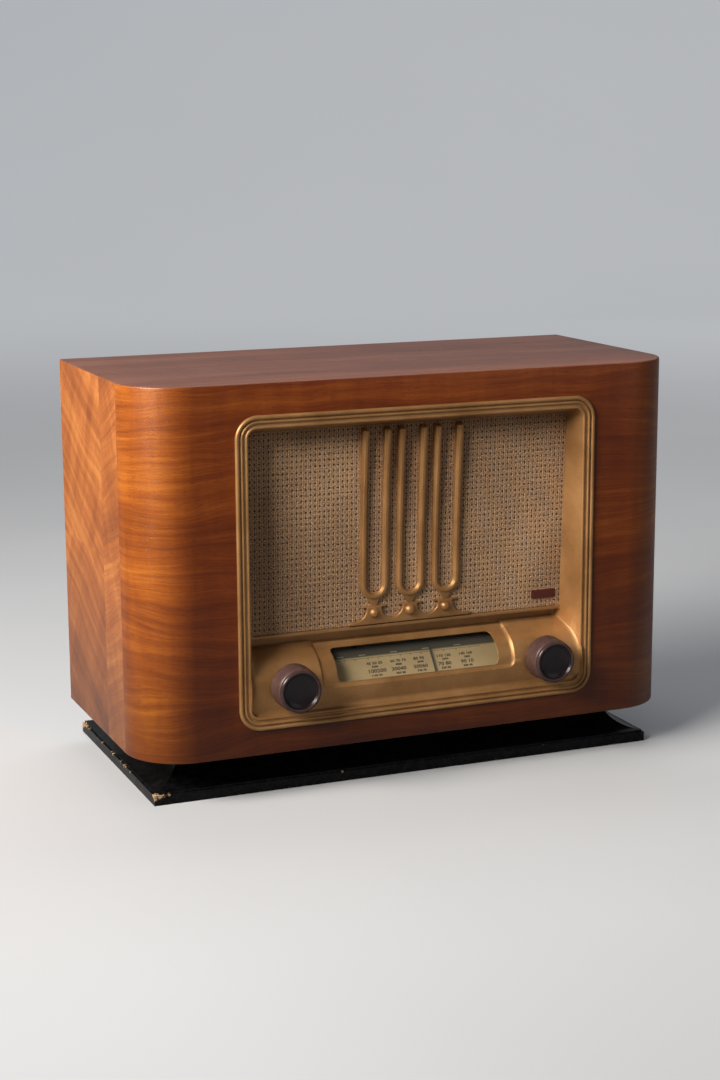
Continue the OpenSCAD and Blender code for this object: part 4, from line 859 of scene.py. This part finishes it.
def buildKnob(name, nodeName, body):
    low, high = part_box(nodeName)
    centre = Vector(((low.x + high.x) / 2, high.y, (low.z + high.z) / 2))
    shape = bmesh.new()
    verts = [shape.verts.new((radius * mm, -height * mm, 0)) for radius, height in knob["outline"]]
    chain = [shape.verts.new((0, -knob["bore"], 0))] + verts
    edges = [shape.edges.new(pair) for pair in zip(chain, chain[1:])]
    steps = knob["ribs"] * 2
    bmesh.ops.spin(shape, geom=chain + edges, cent=(0, 0, 0), axis=(0, 1, 0), angle=2 * pi, steps=steps,
                   use_merge=True)
    weld(shape, 1e-6)
    for vert in shape.verts:
        radius = vert.co.xz.length
        if knob["ribFrom"] < -vert.co.y / mm < knob["ribTo"] and radius > knob["boss"]:
            if round(atan2(vert.co.z, vert.co.x) / (2 * pi) * steps) % 2:
                spread = 1 - knob["ribDepth"] / radius
                vert.co.x, vert.co.z = vert.co.x * spread, vert.co.z * spread
    faceOut(shape)
    for face in shape.faces:
        middle = face.calc_center_median()
        height, radius = -middle.y / mm, middle.xz.length / mm
        flank = height < knob["flankTo"] and radius > knob["faceRadius"]
        dish = radius < knob["faceRadius"] and height > knob["faceFrom"]
        face.material_index = 0 if flank else (2 if dish else 1)
    slide(shape, centre)
    addPiece(name, shape, [knobFlank, knobRing, knobDish], knob["sharpFrom"], [nodeName], body)


# Dial print: a scale line with ticks and rows of plain numbers on the sloping plate
dial = {
    "lean": atan2(18.4, 23.5), "plate": 1.2 * mm, "above": 0.05 * mm, "lineHeight": 24.4 * mm,
    "lineFrom": -67 * mm, "lineTo": 63 * mm, "lineWidth": 0.3 * mm,
    "ticks": (-56, -47, -36, -27, -17, -8, 1, 10, 19, 30, 41, 53), "tickLength": 1.3 * mm,
    "tickWidth": 0.5 * mm,
    # band: the heights on the plate over which the painted shadow under the window's top edge grows to full
    "bold": 0.13 * mm, "stretch": 1.25, "jitter": 1, "band": (24.9 * mm, 26.9 * mm),
    "dashes": (-62, -43, -16, 12, 40), "dashHeight": 27.2 * mm, "dashLength": 6, "dashWidth": 0.7 * mm,
    "columns": ((-31, (("45 50 55", 3.1), ("5500", 2.2), ("100200", 4.3), ("1100 90", 2.3))),
                (-11, (("60 70 75", 3.1), ("4800", 2.2), ("30040", 4.1), ("960 80", 2.3))),
                (8, (("80 90", 3.3), ("3900", 2.2), ("50060", 4.0), ("740 70", 2.3))),
                (29, (("110 120", 3.1), ("2700", 2.2), ("70 80", 4.0), ("520 50", 2.3))),
                (48, (("140 160", 3.0), ("1800", 2.2), ("90 10", 4.0), ("300 40", 2.3)))),
    "rows": (18.6 * mm, 15.8 * mm, 11.4 * mm, 8.3 * mm),
}


# A word as flat faces round its own place
def wordOf(word, size):
    text = bpy.data.curves.new("number", "FONT")
    text.body, text.size, text.align_x = word, size * mm, "CENTER"
    text.resolution_u, text.offset = 2, dial["bold"]
    holder = placed(bpy.data.objects.new("number", text))
    part = bmesh.new()
    part.from_mesh(finalMesh(holder))
    bpy.data.objects.remove(holder)
    return part


def buildDialPrint():
    low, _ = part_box("dial_scale")
    lean = dial["lean"]
    origin = Vector((0, low.y, low.z + dial["plate"] * sin(lean)))
    right, up = Vector((1, 0, 0)), Vector((0, sin(lean), cos(lean)))
    out = right.cross(up)
    turn = Matrix((right, up, out)).transposed().to_4x4()
    shape = bmesh.new()

    def stroke(x0, y0, x1, y1, slot=0):
        made = bmesh.ops.create_grid(shape, x_segments=1, y_segments=1, size=0.5)["verts"]
        for face in {face for vert in made for face in vert.link_faces}:
            face.material_index = slot
        stretch(shape, (x1 - x0, y1 - y0, 1), made)
        slide(shape, ((x0 + x1) / 2, (y0 + y1) / 2, 0), made)

    line, dash = dial["lineHeight"], dial["dashHeight"]
    stroke(dial["lineFrom"], line, dial["lineTo"], line + dial["lineWidth"])
    for x in dial["ticks"]:
        stroke(x * mm, line - dial["tickLength"], x * mm + dial["tickWidth"], line)
    # pale dashes drawn across the dark band at the plate's top
    for x in dial["dashes"]:
        stroke(x * mm, dash, (x + dial["dashLength"]) * mm, dash + dial["dashWidth"], 1)
    for x, words in dial["columns"]:
        for (word, size), row in zip(words, dial["rows"]):
            part = wordOf(word, size)
            shift = random.uniform(-dial["jitter"], dial["jitter"]) * mm
            stretch(part, (dial["stretch"], 1, 1))
            slide(part, (x * mm + shift, row, 0))
            flat = bpy.data.meshes.new("number")
            part.to_mesh(flat)
            part.free()
            shape.from_mesh(flat)
    place = Matrix.Translation(origin + out * dial["above"]) @ turn
    put(shape, place)
    ink, shader = newFinish("dialInk", Roughness=0.6)
    tint(shader, shades(clouds(coordsOf(shader), 900, 2), (0.3, (0.020, 0.010, 0.006)),
                              (0.7, (0.055, 0.030, 0.016))))
    pale = makeMetal("dialPaleDashes", (0.30, 0.24, 0.15), 0.6, 0.0)
    addPiece("dialPrint", shape, [ink, pale])


def makeDialCream():
    material, shader = newFinish("dialCream", Roughness=0.45)
    coords = coordsOf(shader)
    color = shades(clouds(coords, (22, 40, 40), 4), (0.3, (0.42, 0.29, 0.125)),
                   (0.7, (0.55, 0.40, 0.19)))
    specks = rescale(clouds(coords, 1100, 2), 0.66, 0.76)
    color = blendColor(times(specks, 0.5), color, (0.12, 0.08, 0.04))
    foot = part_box("dial_scale")[0].z + dial["plate"] * sin(dial["lean"])
    shadowFrom, shadowTo = (foot + height * cos(dial["lean"]) for height in dial["band"])
    # painted shadow: the plate goes near-black towards its top, standing in for the shade cast by the window's
    # upper edge
    band = rescale(axisOf(coords, "Z"), shadowFrom, shadowTo, 0, 0.95, True)
    tint(shader, blendColor(band, color, (0.010, 0.008, 0.006)))
    return material


def makeClearGlass(name, color, clear, edge=0.55):
    material, shader = newFinish(name, Base_Color=color, Roughness=0.04, IOR=1.5)
    facing = step("ShaderNodeLayerWeight", {"Blend": 0.35}, shader.id_data).outputs["Facing"]
    plug(shader.inputs["Alpha"], rescale(facing, 0.0, 1.0, clear, edge))
    return material


# Plain finishes with a little grain, for what shows through the back or below
def makeMetal(name, color, rough, metallic=1.0, scale=400, spread=0.25):
    material, shader = newFinish(name, Metallic=metallic)
    coords = coordsOf(shader)
    marks, dirt = clouds(coords, scale, 4, 0.6), clouds(coords, 30, 3)
    tint(shader, shades(weigh((marks, 0.5), (dirt, 0.5)), (0.3, [c * (1 - spread) for c in color]),
                              (0.7, [min(1, c * (1 + spread)) for c in color])))
    plug(shader.inputs["Roughness"], rescale(marks, 0.3, 0.7, max(0.05, rough - 0.07), rough + 0.07))
    relief(shader, marks, 0.00003)
    return material


bareWood = makeBareWood()
blackLacquer = makeBlackLacquer()
bronze = makeBronze()
knobFlank = makeBakelite("knobFlank", (0.040, 0.018, 0.016), (0.076, 0.035, 0.029), 0.50, 0.28)
knobRing = makeBakelite("knobRing", (0.032, 0.015, 0.015), (0.060, 0.031, 0.029), 0.26)
knobDish = makeBakelite("knobDish", (0.004, 0.002, 0.0028), (0.010, 0.0045, 0.0055), 0.30)
print("finishes made")

buildCabinet()
print("cabinet veneered")
buildFascia()
print("front moulded")
buildCloth()
buildHoops()
print("cloth and hoops in place")
buildKnob("volumeKnob", "volume_knob", "volume_spindle")
buildKnob("tuningKnob", "tuning_knob", "tuning_control")
print("knobs turned")
buildDialPrint()
print("dial printed")

# [name, colour, roughness, metallic, scale and spread of the grain], then the nodes that wear it
metals = (
    (("badgeRed", (0.085, 0.012, 0.006), 0.35, 0.0), "badge_plate"),
    (("pointerBlack", (0.012, 0.010, 0.010), 0.5, 0.0), "dial_pointer"),
    (("brightSteel", (0.56, 0.55, 0.53), 0.3), "pointer_rail", "tuning_spindle", "volume_shaft",
     "chassis_bolts", "speaker_screws", "back_screws"),
    (("platedSteel", (0.34, 0.34, 0.32), 0.45), "dial_bracket", "chassis", "chassis_walls", "chassis_ends",
     "capacitor_frame"),
    (("brassFinish", (0.60, 0.40, 0.14), 0.32), "lamp_holders", "spindle_bush"),
    (("aluminiumFinish", (0.68, 0.68, 0.69), 0.38), "capacitor_stator", "capacitor_rotor", "screening_cans",
     "smoothing_capacitor"),
    (("blackEnamel", (0.02, 0.02, 0.021), 0.35, 0.0), "volume_control", "output_transformer",
     "transformer_core", "speaker_basket"),
    (("electrodeGrey", (0.07, 0.07, 0.07), 0.5, 0.5), "valve_electrodes"),
    (("magnetGrey", (0.10, 0.10, 0.11), 0.4, 0.8), "speaker_magnet"),
    (("pulleyIvory", (0.62, 0.55, 0.42), 0.5, 0.0), "left_pulley", "right_pulley", "drive_drum"),
    (("cordThread", (0.42, 0.34, 0.18), 0.9, 0.0, 1500, 0.4), "drive_cord"),
    (("windingPaper", (0.34, 0.17, 0.06), 0.6, 0.0), "transformer_coil"),
    (("conePaper", (0.05, 0.046, 0.042), 0.9, 0.0, 900, 0.4), "speaker_cone"),
    (("rubberBlack", (0.02, 0.02, 0.02), 0.8, 0.0), "mains_grommet"),
    (("fibreboard", (0.19, 0.10, 0.045), 0.8, 0.0, 700, 0.35), "back_cover"),
)
paint(blackLacquer, "plinth_plate", "plinth_cove")
paint(bareWood, "cabinet_floor", "corner_blocks", "back_rails", "baffle_board", "baffle_wedges")
paint(makeDialCream(), "dial_scale")
paint(makeClearGlass("dialGlass", (0.22, 0.22, 0.18), 0.05, 0.45), "dial_glass")
paint(makeClearGlass("valveGlass", (0.8, 0.85, 0.88), 0.1), "converter_valve", "detector_valve",
      "output_valve", "rectifier_valve", "dial_lamps")
for look, *wearers in metals:
    paint(makeMetal(*look), *wearers)
paint(makeBakelite("baseBakelite", (0.03, 0.012, 0.010), (0.06, 0.025, 0.02), 0.3), "valve_bases",
      "socket_strip")
print("parts painted")


# Floor and backdrop in one curved sheet, in metres
backdrop = {
    "width": 14.0, "front": -4.0, "back": 3.2, "bend": 1.6, "bendSteps": 16, "height": 5.0,
    "bounce": (0.07, 0.07, 0.075), "mirrored": 0.45, "glow": 0.40, "glowColor": (0.93, 0.96, 1.0),
    "glowFrom": 0.7, "glowTo": 3.7,
}


def makeFloor():
    material, shader = newFinish("paleFloor", Roughness=0.9, Emission_Color=backdrop["glowColor"])
    pale = shades(clouds(coordsOf(shader), 2, 2), (0.3, (0.50, 0.51, 0.53)), (0.7, (0.53, 0.54, 0.56)))
    rays = step("ShaderNodeLightPath", {}, shader.id_data).outputs
    reflected = calc("MAXIMUM", rays["Is Glossy Ray"], rays["Is Transmission Ray"])
    seen = calc("MAXIMUM", rays["Is Camera Ray"], times(reflected, backdrop["mirrored"]))
    tint(shader, blendColor(seen, backdrop["bounce"], pale))
    away = step("ShaderNodeVectorMath", {0: coordsOf(shader)}, operation="LENGTH").outputs["Value"]
    glow = rescale(away, backdrop["glowFrom"], backdrop["glowTo"], 0, backdrop["glow"], True)
    plug(shader.inputs["Emission Strength"], times(glow, seen))
    return material


def buildBackdrop():
    shape = bmesh.new()
    start = [shape.verts.new((side * backdrop["width"] / 2, backdrop["front"], 0)) for side in (-1, 1)]
    path = [Vector((0, backdrop["back"] - backdrop["front"], 0))]
    for k in range(backdrop["bendSteps"]):
        a, b = (pi / 2 * t / backdrop["bendSteps"] for t in (k, k + 1))
        path.append(Vector((0, sin(b) - sin(a), cos(a) - cos(b))) * backdrop["bend"])
    carry(shape, start + [shape.edges.new(start)], path + [Vector((0, 0, backdrop["height"]))])
    faceOut(shape)
    made = loose("floorAndBackdrop", shape)
    made.data.shade_smooth()
    made.data.materials.append(makeFloor())


def addLamp(name, place, aim, size, power, color, spread=180):
    lamp = bpy.data.lights.new(name, "AREA")
    lamp.spread = radians(spread)
    lamp.shape, lamp.energy, lamp.color = "RECTANGLE", power, color
    lamp.size, lamp.size_y = size
    holder = placed(bpy.data.objects.new(name, lamp))
    holder.location = place
    holder.rotation_euler = (Vector(aim) - Vector(place)).to_track_quat("-Z", "Y").to_euler()


buildBackdrop()
addLamp("keyLight", (-1.62, -0.56, 1.25), (0, 0, 0.48), (1.4, 0.75), 30, (1.0, 0.95, 0.88), 100)
addLamp("topLight", (0.3, 0.9, 2.2), (0, 0, 0.2), (1.6, 1.2), 16, (0.95, 0.97, 1.0))
addLamp("fillLight", (1.6, -2.2, 1.2), (0, 0, 0.2), (1.6, 1.6), 4, (0.95, 0.97, 1.0))

sky = {"color": (0.85, 0.88, 0.92), "light": 0.16, "seen": 0.5}
world = bpy.data.worlds.new("studio")
scene.world = world
world.use_nodes = True
shine = world.node_tree.nodes["Background"].inputs
seenSky = step("ShaderNodeLightPath", {}, world.node_tree).outputs["Is Camera Ray"]
plug(shine["Color"], sky["color"])
plug(shine["Strength"], rescale(seenSky, 0, 1, sky["light"], sky["seen"]))

# Camera at the photograph's place and angle
view = {
    "place": (-0.6366, -1.5343, 0.5186), "yaw": 0.389, "pitch": 0.204, "roll": -0.005, "lens": 68.1, "film": 36,
}


def buildCamera():
    yaw, pitch, roll = view["yaw"], view["pitch"], view["roll"]
    ahead = Vector((sin(yaw) * cos(pitch), cos(yaw) * cos(pitch), -sin(pitch)))
    right = Vector((cos(yaw), -sin(yaw), 0))
    up = right.cross(ahead)
    right, up = right * cos(roll) + up * sin(roll), up * cos(roll) - right * sin(roll)
    camera = placed(bpy.data.objects.new("camera", bpy.data.cameras.new("camera")))
    camera.data.lens, camera.data.sensor_width, camera.data.sensor_fit = view["lens"], view["film"], "AUTO"
    turn = Matrix((right, up, -ahead)).transposed().to_4x4()
    camera.matrix_world = Matrix.Translation(view["place"]) @ turn
    scene.camera = camera


buildCamera()
scene.view_settings.view_transform = "Standard"
print("lights and camera set")
